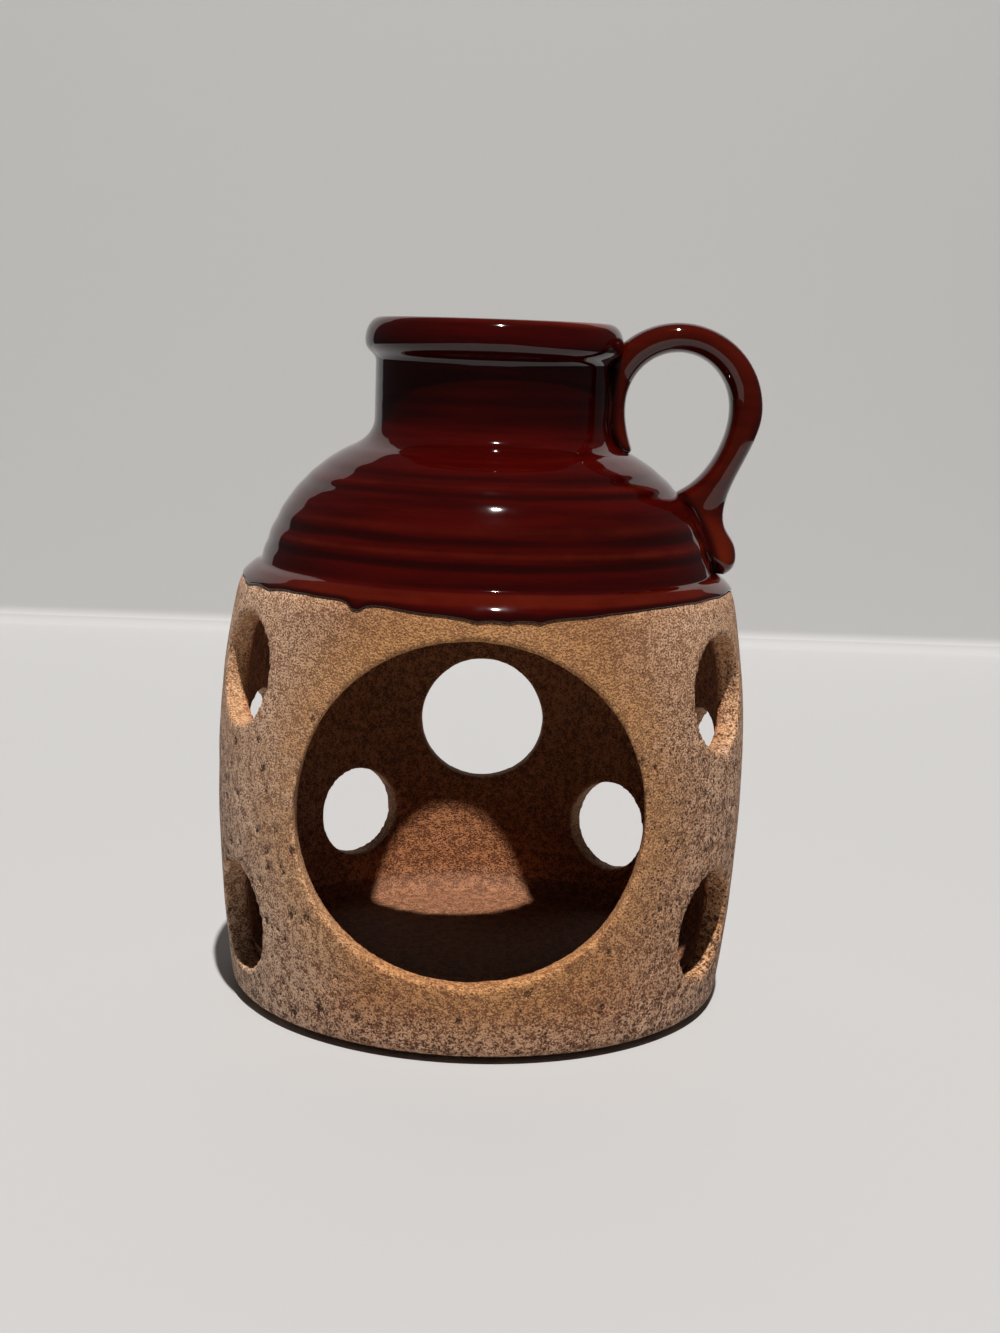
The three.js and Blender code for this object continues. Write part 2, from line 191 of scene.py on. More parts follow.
def close_up(piece):
    """Merge doubled points, turn the faces outwards and shade the piece."""
    choose(piece)
    edit_all()
    bpy.ops.mesh.remove_doubles(threshold=WELD)
    bpy.ops.mesh.normals_make_consistent(inside=False)
    bpy.ops.object.mode_set(mode="OBJECT")
    bpy.ops.object.shade_smooth_by_angle(angle=SHARP_ANGLE)


def throw(name, outline):
    """Turn a closed outline of (radius, height) points about the upright axis."""
    begin()
    bpy.ops.mesh.primitive_circle_add(vertices=len(outline))
    piece = name_piece(name)
    for vertex, (radius, height) in zip(piece.data.vertices, outline):
        vertex.co = (radius * MM, 0, height * MM)
    edit_all()
    bpy.ops.mesh.spin(steps=TURN_STEPS, angle=math.tau, center=(0, 0, 0), axis=(0, 0, 1))
    close_up(piece)
    print(name, "has", len(piece.data.polygons), "faces")
    return piece


def finish_with(piece, kind, **settings):
    """Add a modifier with its settings, and apply it."""
    choose(piece)
    modifier = piece.modifiers.new(kind.lower(), kind)
    for key, value in settings.items():
        setattr(modifier, key, value)
    bpy.ops.object.modifier_apply(modifier=modifier.name)


def points_of(piece):
    """The piece's points as an array in millimetres."""
    flat = np.zeros(len(piece.data.vertices) * 3)
    piece.data.vertices.foreach_get("co", flat)
    return flat.reshape(-1, 3) / MM


def set_points(piece, points):
    """Write an array of points in millimetres back to the piece."""
    piece.data.vertices.foreach_set("co", (points * MM).ravel())
    piece.data.update()


def set_mask(piece, name, values):
    """Keep one number from 0 to 1 for each point, for the materials to read."""
    mask = piece.data.attributes.new(name, "FLOAT", "POINT")
    mask.data.foreach_set("value", np.clip(np.asarray(values, dtype=np.float32), 0, 1))


def search_tree(places):
    """A tree that finds the places near a point."""
    finder = kdtree.KDTree(len(places))
    for index, place in enumerate(places):
        finder.insert(place, index)
    finder.balance()
    return finder


print("steps in a turn:", TURN_STEPS)

# %% [markdown]
# ## The barrel's section
# The barrel leans out to its belly and in again to the glaze line: two parabolas describe that. Above
# the glaze line the clay rolls over into a ledge, because the shoulder was set on the leather-hard
# barrel and the joint smoothed round. The foot is trimmed under, so that a thin shadow shows beneath
# its edge, and a lip inside it carries the floor.

# %% Barrel section
BELLY_HEIGHT = 88.0
FOOT_RADIUS = 91.5
FOOT_TRIM_HEIGHT = 4.6
FOOT_TRIM_DEPTH = 10.5
FOOT_ROUND = 3.0
FOOT_LIP_WIDTH = 6.5
BARREL_WALL = 8.5
LEDGE_STEP = 7.9
LEDGE_RISE = 9.0
CLAY_LIP_TOP = 157.4
CLAY_LIP_BORE = 84.7

_, wall_high = node_box("pierced_wall")
floor_low, floor_high = node_box("floor_disc")
shoulder_low, shoulder_high = node_box("shoulder_dome")
belly_radius = wall_high.x
barrel_height = wall_high.z
barrel_top_radius = shoulder_high.x
dome_foot = (barrel_top_radius - LEDGE_STEP, barrel_height + LEDGE_RISE)
# control points of the ledge's curve
ledge_line = [
    (barrel_top_radius, barrel_height),
    (barrel_top_radius - 0.23 * LEDGE_STEP, barrel_height + 0.58 * LEDGE_RISE),
    dome_foot,
]
ledge_points = curve(ledge_line, 40)


def barrel_radius(z):
    """Outside of the barrel at a height."""
    below = z < BELLY_HEIGHT
    end_radius = FOOT_RADIUS if below else barrel_top_radius
    reach = BELLY_HEIGHT if below else barrel_height - BELLY_HEIGHT
    share = (z - BELLY_HEIGHT) / reach
    return belly_radius - (belly_radius - end_radius) * share * share


def ledge_radius(z):
    """Outside of the clay at a height, from the barrel up over the ledge."""
    return barrel_radius(z) if z <= barrel_height else radius_at(ledge_points, z)


def barrel_bore(z):
    """Inside of the barrel at a height."""
    return barrel_radius(z) - BARREL_WALL


foot_edge = barrel_radius(FOOT_TRIM_HEIGHT)
# control points of the foot's curve
foot_line = [
    (foot_edge - FOOT_TRIM_DEPTH, 0),
    (foot_edge - 0.45 * FOOT_TRIM_DEPTH, 0.36 * FOOT_TRIM_HEIGHT),
    (foot_edge, 0.46 * FOOT_TRIM_HEIGHT),
    (foot_edge, FOOT_TRIM_HEIGHT),
]
foot_lip_radius = barrel_bore(floor_low.z) - FOOT_LIP_WIDTH
barrel_outline = [
    *curve(foot_line, 8),
    *[(ledge_radius(z), z) for z in span(FOOT_TRIM_HEIGHT + FOOT_ROUND, CLAY_LIP_TOP, 56)],
    (CLAY_LIP_BORE, CLAY_LIP_TOP),
    (CLAY_LIP_BORE, shoulder_low.z),
    *[(barrel_bore(z), z) for z in span(shoulder_low.z, floor_low.z, 40)],
    (foot_lip_radius, floor_low.z),
    (foot_lip_radius, 0),
]
barrel = throw("barrel", barrel_outline)

# %% [markdown]
# ## Cutting the openings
# The potter cuts the openings with a hoop while the clay is firm: a big window in front, a hole behind
# it and four pairs round the sides. Each cut here is a cylinder driven through the wall, taken away
# with a Boolean modifier. They were cut by hand, so no two sit quite alike, and each has its own place.
# The hoop strayed at the lower corners of the window, so its cutter is pulled out there.

# %% Cut the openings
OPENINGS = {
    # name: azimuth from the front in degrees, height of the centre, radius
    "front_window": (-2.0, 86.6, 57.5),
    "back_hole": (180.0, 82.5, 25.7),
    "left_upper_hole": (-62.5, 124.8, 19.6),
    "left_lower_hole": (-64.0, 34.7, 20.0),
    "right_upper_hole": (61.7, 121.3, 20.3),
    "right_lower_hole": (60.5, 38.0, 20.0),
    "left_middle_hole": (-106.0, 85.0, 19.5),
    "right_middle_hole": (106.0, 83.0, 19.5),
    "left_rear_hole": (-145.0, 44.5, 18.0),
    "right_rear_hole": (142.0, 42.5, 18.2),
}
WINDOW_STRAY = [
    # angle round the window in degrees from its right side, reach, half width in degrees
    (214, 5.2, 38),
    (318, 3.4, 38),
]
CUTTER_SIDES = 96
CUTTER_START = 50.0
CUTTER_END = 110.0


def outward(azimuth):
    """Level direction at an azimuth in degrees, 0 towards the front."""
    angle = math.radians(azimuth)
    return Vector((math.sin(angle), -math.cos(angle), 0))


def half_turn(angle):
    """The same angle in degrees, from -180 to 180."""
    return (angle + 180) % 360 - 180


def stray(name, turn):
    """How far an opening strays out from its circle, at an angle in degrees round it."""
    if name != "front_window":
        return 0
    return sum(reach * bump(half_turn(turn - place), 0, half) for place, reach, half in WINDOW_STRAY)


def cut_opening(piece, name):
    """Drive a cylinder through the wall and take it away."""
    azimuth, height, radius = OPENINGS[name]
    begin()
    middle = outward(azimuth) * (CUTTER_START + CUTTER_END) / 2
    bpy.ops.mesh.primitive_cylinder_add(
        vertices=CUTTER_SIDES,
        radius=radius * MM,
        depth=(CUTTER_END - CUTTER_START) * MM,
        location=(middle.x * MM, middle.y * MM, height * MM),
        rotation=(math.pi / 2, 0, math.radians(azimuth)),
    )
    cutter = bpy.context.object
    for vertex in cutter.data.vertices:
        turn = math.degrees(math.atan2(vertex.co.y, vertex.co.x))
        wider = 1 + stray(name, turn) / radius
        vertex.co.x *= wider
        vertex.co.y *= wider
    finish_with(piece, "BOOLEAN", operation="DIFFERENCE", solver="EXACT", object=cutter)
    bpy.data.objects.remove(cutter)


for name in OPENINGS:
    cut_opening(barrel, name)
print("openings cut:", len(OPENINGS))

# %% [markdown]
# ## Softening the cuts
# A wet sponge takes the sharp edge off every cut. A bevel would need clean edges, which a Boolean
# doesn't leave, so the barrel is built again in small even faces with a voxel remesh and then smoothed,
# which rounds each edge by about a millimetre. A weak Displace makes the wall as uneven as a hand-thrown
# one, but is held back at the glaze line and the foot, where other things meet it.

# %% Remesh, smooth and make uneven
VOXEL = 1.22
SPONGE_PASSES = 3
UNEVEN_SIZE = 34.0
UNEVEN_DEPTH = 0.7
# eased steps up the wall: size, start, end
UNEVEN_SHARE = [(1, 3, 12), (-1, 132, 148)]

finish_with(barrel, "REMESH", mode="VOXEL", voxel_size=VOXEL * MM)
finish_with(barrel, "SMOOTH", factor=0.5, iterations=SPONGE_PASSES)
free_wall = barrel.vertex_groups.new(name="free_wall")
for vertex in barrel.data.vertices:
    free_wall.add([vertex.index], ramp(UNEVEN_SHARE, vertex.co.z / MM), "REPLACE")
hand_cloud = bpy.data.textures.new("hand_cloud", "CLOUDS")
hand_cloud.noise_scale = UNEVEN_SIZE * MM
finish_with(
    barrel, "DISPLACE", texture=hand_cloud, texture_coords="LOCAL", strength=UNEVEN_DEPTH * MM,
    mid_level=0.5, vertex_group="free_wall",
)
barrel.vertex_groups.clear()
choose(barrel)
bpy.ops.object.shade_smooth()
print("barrel faces:", len(barrel.data.polygons))

# %% [markdown]
# ## Iron pits
# Where grains of iron burnt out of the clay they left little dark craters, more of them low down and
# towards the sides. They are real dents, so they are pressed into the mesh, at places drawn from a
# seeded dice so that each run gives the same jug. How deep each point went is kept as a mask, and the
# clay material darkens it.

# %% Press the pits
PIT_COUNT = 620
PIT_DEPTH = 0.55
PIT_REACH = 1.8
FULL_PIT_RADIUS = 1.2
# lowest, highest and most common value of each draw
PIT_AZIMUTHS = (0, 180, 65)
PIT_HEIGHTS = (4, 130, 22)
PIT_RADII = (0.5, 2.2, 0.7)
dice = random.Random(11)

points = points_of(barrel)
wall_tree = search_tree(points)
pit = np.zeros(len(points))
for _ in range(PIT_COUNT):
    azimuth = dice.choice((-1, 1)) * dice.triangular(*PIT_AZIMUTHS)
    height = dice.triangular(*PIT_HEIGHTS)
    radius = dice.triangular(*PIT_RADII)
    center = outward(azimuth) * barrel_radius(height)
    center.z = height
    for _, index, gap in wall_tree.find_range(center, radius * PIT_REACH):
        pit[index] = max(pit[index], bump(gap, 0, radius) * min(radius / FULL_PIT_RADIUS, 1))
level = np.hypot(points[:, 0], points[:, 1])
points[:, :2] -= (points[:, :2].T * pit * PIT_DEPTH / level).T
set_points(barrel, points)
set_mask(barrel, "pit", pit)
print("points in pits:", np.count_nonzero(pit > 0.3))

# %% [markdown]
# ## Toasted edges
# In the kiln the thin edges of the cuts flash to a warmer, more orange tan than the wall between them.
# The clay just under the glaze does the same. The distance of every point to the rim of the nearest
# cut gives a second mask for that, and a third one tells the browner inside from the outside.

# %% Mark the toasted edges
TOAST_REACH = 17.0
SMALL_HOLE_TOAST = 0.35
CUT_EDGE = 0.6
GLAZE_EDGE = 152.0
UNDER_GLAZE_REACH = 7.0
UNDER_GLAZE_TOAST = 0.3
INSIDE_EDGE = 3.0

toast = np.exp(-(((GLAZE_EDGE - points[:, 2]) / UNDER_GLAZE_REACH) ** 2)) * UNDER_GLAZE_TOAST
for name, (azimuth, height, radius) in OPENINGS.items():
    direction = np.array(outward(azimuth))
    offset = points - np.array((0, 0, height))
    depth = offset @ direction
    lateral = np.linalg.norm(offset - np.outer(depth, direction), axis=1)
    turns = np.degrees(np.arctan2(offset[:, 2], offset @ np.array(outward(azimuth + 90))))
    cut_radius = radius + np.array([stray(name, turn) for turn in turns])
    strength = 1.0 if name == "front_window" else SMALL_HOLE_TOAST
    near = np.exp(-((np.maximum(lateral - cut_radius, 0) / TOAST_REACH) ** 2)) * strength
    near = np.where(lateral < cut_radius + CUT_EDGE, 1, near)
    toast = np.maximum(toast, np.where(depth > 0, near, 0))
set_mask(barrel, "toast", toast)
bore = np.array([barrel_bore(z) for z in points[:, 2]])
level = np.hypot(points[:, 0], points[:, 1])
set_mask(barrel, "inside", (bore + INSIDE_EDGE - level) / INSIDE_EDGE)
print("mean toast:", round(float(toast.mean()), 3))

# %% [markdown]
# ## Fewer faces
# The pits and the cut edges needed small faces, but the nearly flat wall between them has far more than
# it shows. A larger voxel would roughen the edges, so a Decimate modifier merges faces where the wall is
# flat. It carries the masks along.

# %% Thin the barrel's mesh
THINNED_SHARE = 0.67

finish_with(barrel, "DECIMATE", ratio=THINNED_SHARE)
print("barrel triangles:", sum(len(face.vertices) - 2 for face in barrel.data.polygons))

# %% [markdown]
# ## Floor and corner coil
# The floor is a slab with faint finger rings from being compressed on the wheel. It could be a flat
# disc, but the rings catch the light that falls through the mouth. A coil of clay is smoothed into the
# corner between floor and wall, and gives the inside its hollow curve.

# %% Throw the floor and its coil
FLOOR_RING_PITCH = 9.0
FLOOR_RING_HEIGHT = 0.22
FLOOR_RING_FADE = (4, 30)
COIL_RADIUS = 9.0
COIL_BED = 1.2
COIL_SINK = 0.3

_, coil_high = node_box("floor_corner_coil")


def floor_height(radius):
    """Top of the floor, with finger rings that fade towards the middle."""
    ring = math.cos(math.tau * radius / FLOOR_RING_PITCH)
    return floor_high.z + FLOOR_RING_HEIGHT * ring * smooth_step(*FLOOR_RING_FADE, radius)


floor_edge = floor_high.x
floor_outline = [
    (0, floor_low.z),
    (floor_edge, floor_low.z),
    *[(radius, floor_height(radius)) for radius in span(floor_edge, 0, 72)],
]
jug_floor = throw("floor", floor_outline)

coil_center = (barrel_bore(coil_high.z) - COIL_RADIUS, floor_high.z + COIL_RADIUS)
coil_outline = [
    (coil_center[0] - COIL_BED, floor_high.z - COIL_SINK),
    (barrel_bore(floor_high.z), floor_high.z - COIL_SINK),
    *[(barrel_bore(z) + COIL_SINK, z) for z in span(floor_high.z + 1, coil_high.z, 6)],
    *arc(coil_center, COIL_RADIUS, 4, -94, 12),
]
corner_coil = throw("corner_coil", coil_outline)

# %% [markdown]
# ## The shoulder's section
# The shoulder rises from the glaze line over a ledge, then over a ribbed dome into the neck. The
# fingers that pulled it up left grooves, and the glaze ran thick in them. The dome could be drawn
# smooth and the grooves painted, but their edges bend the reflections, so they are in the section.

# %% Shoulder section
DOME_RISE = 41.5
NECK_FILLET_RUN = 9.0
NECK_FILLET_RISE = 3.7
NECK_WALL = 7.0
THROWING_GROOVES = [
    # height, depth, half width
    (161.3, 0.12, 1.5),
    (167.0, 0.36, 2.2),
    (174.8, 0.36, 2.3),
    (182.0, 0.10, 2.4),
    (189.4, 0.28, 1.7),
    (194.6, 0.24, 1.4),
    (198.9, 0.10, 1.3),
    (205.0, 0.07, 1.5),
]

neck_low, neck_high = node_box("neck_collar")
neck_radius = neck_high.x
neck_bore = neck_radius - NECK_WALL
neck_foot = shoulder_high.z
dome_top = (neck_radius + NECK_FILLET_RUN, dome_foot[1] + DOME_RISE)
dome_run = dome_foot[0] - dome_top[0]
# control points of the dome's curve
dome_line = [
    dome_foot,
    (dome_foot[0] - 0.12 * dome_run, dome_foot[1] + 0.39 * DOME_RISE),
    (dome_foot[0] - 0.43 * dome_run, dome_foot[1] + 0.78 * DOME_RISE),
    dome_top,
]
fillet_line = [dome_top, (neck_radius, dome_top[1] + NECK_FILLET_RISE), (neck_radius, neck_foot)]
pot_points = [*ledge_points[:-1], *curve(dome_line, 60)[:-1], *curve(fillet_line, 16)]


def pot_radius(z):
    """Outside of the shoulder at a height, before its grooves."""
    return radius_at(pot_points, z)


print("dome radius half way up:", round(pot_radius(dome_foot[1] + DOME_RISE / 2), 1))

# %% [markdown]
# ## The glaze line
# The glaze is thick enough to see: it ends in a rolled, dark bead on the ledge. The bead hangs lowest at
# the front, rises towards both sides and sags into a few drips. So after the shoulder is spun, the
# points of its lowest rows are moved, azimuth by azimuth, to follow that line.

# %% Glaze line and bead
GLAZE_FRONT = 151.5
GLAZE_FRONT_AZIMUTH = 4.0
GLAZE_FRONT_SPREAD = 24.0
GLAZE_SIDE_RISE = 3.4
GLAZE_WAVER = 0.25
GLAZE_WAVER_PITCH = 3.1
GLAZE_DRIPS = [
    # azimuth, drop, half width in degrees
    (-68, 1.2, 5.0), (-56, 0.9, 3.5), (-28, 2.5, 2.1), (-1.7, 0.7, 1.6), (4.9, 0.5, 1.3),
    (11.2, 0.8, 1.4), (84, 1.0, 4.0), (109, 2.2, 3.0), (133, 0.8, 4.0), (158, 1.6, 2.6),
    (-176, 0.9, 5.0), (-150, 2.4, 2.8), (-128, 0.8, 4.5), (-96, 1.5, 3.2),
]
GLAZE_THICKNESS = 0.55
BEAD_THICKNESS = 0.75
BEAD_ROUND = 0.6
# eased steps from the cove to the glaze line: size, start, end
GLAZE_BUILD = [(GLAZE_THICKNESS, 0, 0.3), (BEAD_THICKNESS - GLAZE_THICKNESS, 0.45, 0.9)]
BEAD_ROLL = [115, 90, 70, 45, 20]


def glaze_line(azimuth):
    """Height of the glaze's lower edge at an azimuth in degrees."""
    aside = 1 - bump(azimuth, GLAZE_FRONT_AZIMUTH, GLAZE_FRONT_SPREAD)
    height = GLAZE_FRONT + GLAZE_SIDE_RISE * aside
    for place, drop, half in GLAZE_DRIPS:
        height -= drop * bump(half_turn(azimuth - place), 0, half)
    return height + GLAZE_WAVER * noise.noise((azimuth / GLAZE_WAVER_PITCH, 0.4, 0.7))


def ledge_row(share, azimuth):
    """Place on the glazed ledge, from its cove at share 0 to the glaze line at share 1."""
    height = dome_foot[1] + (glaze_line(azimuth) - dome_foot[1]) * share
    return ledge_radius(height) + ramp(GLAZE_BUILD, share), height


def bead_row(turn, azimuth):
    """Place on the bead's underside, at an angle in degrees below the outward direction."""
    edge = glaze_line(azimuth)
    center = ledge_radius(edge) + BEAD_THICKNESS - BEAD_ROUND
    angle = math.radians(turn)
    return center + BEAD_ROUND * math.cos(angle), edge - BEAD_ROUND * math.sin(angle)


print("glaze line at -28, 0 and 60 degrees:", [round(glaze_line(a), 1) for a in (-28, 0, 60)])

# %% [markdown]
# ## Throwing the shoulder
# The section runs from the spigot inside the barrel, over the barrel's lip, down to the bead and back
# up over the ledge and the dome to the neck. It is spun as a plain round piece first. A search tree
# then tells which row each point belongs to, and the bead's rows get their hand-made line.

# %% Throw the shoulder
LEDGE_ROWS = 22
SPIGOT_GAP = 0.3
SHOULDER_WALL = 8.0
INSIDE_DROP = 3.0
INSIDE_END = 158.0
# eased steps up the inside, where a lip narrows the way into the neck: size, start, end
NECK_LIP = [(3.2, 196, 206)]
NECK_LIP_DROP = [(8.0, 180, 205)]

spigot_radius = CLAY_LIP_BORE - SPIGOT_GAP
edge_rows = [(bead_row, turn) for turn in BEAD_ROLL]
edge_rows += [(ledge_row, share) for share in span(1, 0, LEDGE_ROWS)]
edge_outline = [row(place, 0) for row, place in edge_rows]
dome_heights = span(dome_foot[1], neck_foot, 104)[1:]
dome_outline = [(pot_radius(z) - rings_at(THROWING_GROOVES, z), z) for z in dome_heights]
dome_inside = [
    (pot_radius(z) - SHOULDER_WALL - ramp(NECK_LIP, z), z - INSIDE_DROP - ramp(NECK_LIP_DROP, z))
    for z in span(neck_foot, INSIDE_END, 24)
]
spigot_outline = [
    (barrel_bore(barrel_height), shoulder_low.z),
    (spigot_radius, shoulder_low.z),
    (spigot_radius, CLAY_LIP_TOP),
    (ledge_radius(CLAY_LIP_TOP) + SPIGOT_GAP / 2, CLAY_LIP_TOP + SPIGOT_GAP),
]
shoulder = throw("shoulder", [*spigot_outline, *edge_outline, *dome_outline, *dome_inside])

# %% Move the bead to the glaze line
ROW_MATCH = 0.02
BEAD_POOL = 0.75
LEDGE_POOL_START = (0.55, 0.95)

row_tree = search_tree([(radius, height, 0) for radius, height in edge_outline])
points = points_of(shoulder)
azimuths = np.degrees(np.arctan2(points[:, 0], -points[:, 1]))
pool_and_shade = np.zeros(len(points))
for index, (x, y, z) in enumerate(points):
    _, nearest, gap = row_tree.find((math.hypot(x, y), z, 0))
    if gap < ROW_MATCH:
        row, place = edge_rows[nearest]
        radius, height = row(place, azimuths[index])
        points[index] = (*(outward(azimuths[index]) * radius)[:2], height)
        pool_and_shade[index] = BEAD_POOL if row is bead_row else BEAD_POOL * smooth_step(*LEDGE_POOL_START, place)
set_points(shoulder, points)
print("lowest drip at", round(min(glaze_line(azimuth) for azimuth in range(-180, 180)), 1), "mm")

# %% [markdown]
# ## Where the glaze is thick or thin
# A red-brown iron glaze goes nearly black where it pools, in grooves and on the bead, and breaks to
# amber where it runs thin, on rims and ridges. Two masks carry that to the material. On the neck the
# pool mask also holds a painted shade under the rim, and on the handle the thin mask also holds painted
# light on the strap's sides. For the thrown pieces they follow from the section, with a slow wander
# round the jug so that no ring is perfect.

# %% Masks for the shoulder
WANDER_TURNS = 2.2
WANDER_RISE = 14.0
WANDER_LEVEL = 0.5
GROOVE_POOL = 2.8
GROOVE_POOL_WIDTH = 0.75
POOL_EVEN = 0.85
POOL_WANDER = 0.4
# height, how thin the glaze is, half width
RIDGES = [(170.8, 0.38, 1.6), (178.5, 0.3, 2.4), (191.9, 0.3, 1.2)]
# eased steps over the ledge: size, start, end
LEDGE_THIN = [(0.4, 153.5, 156), (-0.4, 158.5, 160)]

pooled_grooves = [
    (height, GROOVE_POOL * depth, GROOVE_POOL_WIDTH * half) for height, depth, half in THROWING_GROOVES
]


def wander(azimuth, z):
    """A slow change round the jug, about -1 to 1."""
    angle = math.radians(azimuth)
    return noise.noise((WANDER_TURNS * math.cos(angle), WANDER_TURNS * math.sin(angle), z / WANDER_RISE))


def groove_pool(azimuth, z):
    """How thick the glaze lies in the throwing grooves."""
    thickness = min(1.0, rings_at(pooled_grooves, z + WANDER_LEVEL * wander(azimuth, 0)))
    return thickness * (POOL_EVEN + POOL_WANDER * wander(azimuth, z))


for index, z in enumerate(points[:, 2]):
    if z > dome_foot[1] - 1:
        pool_and_shade[index] = groove_pool(azimuths[index], z)
set_mask(shoulder, "pool_and_shade", pool_and_shade)
set_mask(shoulder, "thin_and_lit", [max(rings_at(RIDGES, z), ramp(LEDGE_THIN, z)) for z in points[:, 2]])
print("mean pool on the shoulder:", round(float(pool_and_shade.mean()), 3))

# %% [markdown]
# ## Neck and rim
# The neck is a short collar with faint rings, and the rim flares out of it and is rolled over. They
# meet the shoulder on the same radius, so the glaze seems to run over the joints unbroken. Both are
# thrown from sections as before.

# %% Throw the neck
# height, depth, half width
NECK_RINGS = [(214.6, 0.025, 1.7), (219.5, 0.03, 1.9), (225.0, 0.025, 1.9)]
NECK_RING_POOL = 12.0
NECK_TONGUE = 3.0
# painted shade: an eased step that darkens the neck towards the rim above it: size, start, end
NECK_PAINTED_SHADE = [(0.48, 209, 222)]

rim_low, rim_high = node_box("rim_roll")
rim_foot = rim_low.z
tongue_radius = neck_bore + NECK_TONGUE
neck_outline = [
    *[(neck_radius - rings_at(NECK_RINGS, z), z) for z in span(neck_foot, rim_foot, 44)],
    (tongue_radius, rim_foot),
    (tongue_radius, neck_high.z),
    *[(neck_bore, z) for z in span(neck_high.z, neck_low.z, 20)],
    (tongue_radius, neck_low.z),
    (tongue_radius, neck_foot),
]
neck = throw("neck", neck_outline)
heights = points_of(neck)[:, 2]
# the neck's pool mask holds the glaze pooled in its rings and a painted shade under the rim
set_mask(neck, "pool_and_shade", [ramp(NECK_PAINTED_SHADE, z) + NECK_RING_POOL * rings_at(NECK_RINGS, z) for z in heights])
set_mask(neck, "thin_and_lit", np.zeros(len(heights)))

# %% Throw the rim
RIM_WAIST = 7.8
RIM_ROUND_WIDE = 5.4
RIM_GROOVE = 3.2
RIM_POOL = 0.85
RIM_THIN = 0.3
RIM_THIN_RIGHT = 0.3

rim_radius = rim_high.x
rim_top = rim_high.z
rim_widest = rim_foot + RIM_WAIST
crown_radius = rim_radius - RIM_ROUND_WIDE
# control points of the flare's curve
flare_line = [
    (neck_radius, rim_foot),
    (neck_radius, rim_foot + 0.44 * RIM_WAIST),
    (rim_radius, rim_foot + 0.42 * RIM_WAIST),
    (rim_radius, rim_widest),
]


def crown(width, start, end, count):
    """A stretch of the rim's rounded top, with its own half width."""
    rise = rim_top - rim_widest
    return [(crown_radius + width * x, rim_widest + rise * z) for x, z in arc((0, 0), 1, start, end, count)]


rim_outline = [
    *curve(flare_line, 30),
    *crown(RIM_ROUND_WIDE, 0, 90, 16)[1:],
    *crown(crown_radius - neck_bore, 90, 180, 12)[1:],
    (neck_bore, neck_high.z),
    (neck_bore + RIM_GROOVE, neck_high.z),
    (neck_bore + RIM_GROOVE, rim_foot),
]
rim = throw("rim", rim_outline)
# eased steps up the rim: size, start, end
less_pool = [(0.4, rim_foot, rim_widest), (0.45, rim_top - 2.5, rim_top)]
thin_edge = [(1, rim_top - 4, rim_top - 0.5)]
rim_pool = []
rim_thin = []
for x, _, z in points_of(rim):
    rim_pool.append(RIM_POOL - ramp(less_pool, z))
    rim_thin.append((RIM_THIN + RIM_THIN_RIGHT * smooth_step(0, rim_radius, x)) * ramp(thin_edge, z))
set_mask(rim, "pool_and_shade", rim_pool)
set_mask(rim, "thin_and_lit", rim_thin)

# %% [markdown]
# ## The handle's path
# The handle is a strap of clay pulled thin by wet hands. It starts at the foot of the neck, runs up it,
# leaves under the rim, arches over and comes down to the shoulder, where its tail is pressed on. Two
# lines give its side view: the edge that looks into the finger hole, and the outer edge. Where an edge
# is pressed against the pot it runs a little inside the clay.

# %% Handle edges
ARCH_THICKNESS = 10.2
ARCH_SWELL = 0.7
GRIP_THICKNESS = 12.2
GRIP_HEIGHT = neck_foot + 7
LEG_THICKNESS = 5.4
LEG_BACK = 40.5
# places on the side view: distance from the axis, height
CROTCH = (69.2, 188.6)
WAIST = (86.3, 180.5)
TAIL = (91.9, 165.2)
TAIL_TOE_RADIUS = 87.6
TAIL_END = 159.2
TAIL_SINK = 3.5
ARCH_STATIONS = 22
GRIP_STATIONS = 14
TAIL_STATIONS = 10
LEG_STATIONS = 8

handle_low, handle_high = node_box("handle_strap")
loop_left = neck_radius + LEG_THICKNESS
loop_right = handle_high.x - GRIP_THICKNESS
loop_middle = (loop_left + loop_right) / 2


def arch(half_width, top):
    """The arch of one edge over the finger hole, from the neck outwards."""
    rise = top - GRIP_HEIGHT
    turns = span(math.pi, 0, ARCH_STATIONS)
    return [(loop_middle + half_width * math.cos(a), GRIP_HEIGHT + rise * math.sin(a)) for a in turns]


# control points of the curves before and after the arch
leg_inner = [(52.0, 202.0), (loop_left, 211.0), (loop_left, GRIP_HEIGHT)]
leg_outer = [(46.5, 199.6), (LEG_BACK, 208.0), (LEG_BACK, GRIP_HEIGHT)]
grip_inner = [(loop_right, GRIP_HEIGHT), (loop_right, 206.5), (78.6, 192.7), CROTCH]
grip_outer = [(handle_high.x, GRIP_HEIGHT), (handle_high.x, 206.7), (WAIST[0], 192.8), WAIST]
tail_outer = [WAIST, (WAIST[0], 172.8), (TAIL[0], 172.8), TAIL]
toe_outer = [TAIL, (TAIL[0], 160.4), (TAIL_TOE_RADIUS, handle_low.z)]
arch_inner = arch((loop_right - loop_left) / 2, handle_high.z - ARCH_THICKNESS)
arch_outer = arch(handle_high.x - loop_middle, handle_high.z + ARCH_SWELL)
strap_inner = [
    *curve(leg_inner, LEG_STATIONS),
    *arch_inner[1:],
    *curve(grip_inner, GRIP_STATIONS)[1:],
    *[(pot_radius(z) - TAIL_SINK, z) for z in span(CROTCH[1], TAIL_END, TAIL_STATIONS * 2)[1:]],
]
strap_outer = [
    *curve(leg_outer, LEG_STATIONS),
    *[(max(x, LEG_BACK), z) for x, z in arch_outer[1:]],
    *curve(grip_outer, GRIP_STATIONS)[1:],
    *curve(tail_outer, TAIL_STATIONS)[1:],
    *curve(toe_outer, TAIL_STATIONS)[1:],
]
print("handle stations:", len(strap_inner), len(strap_outer))

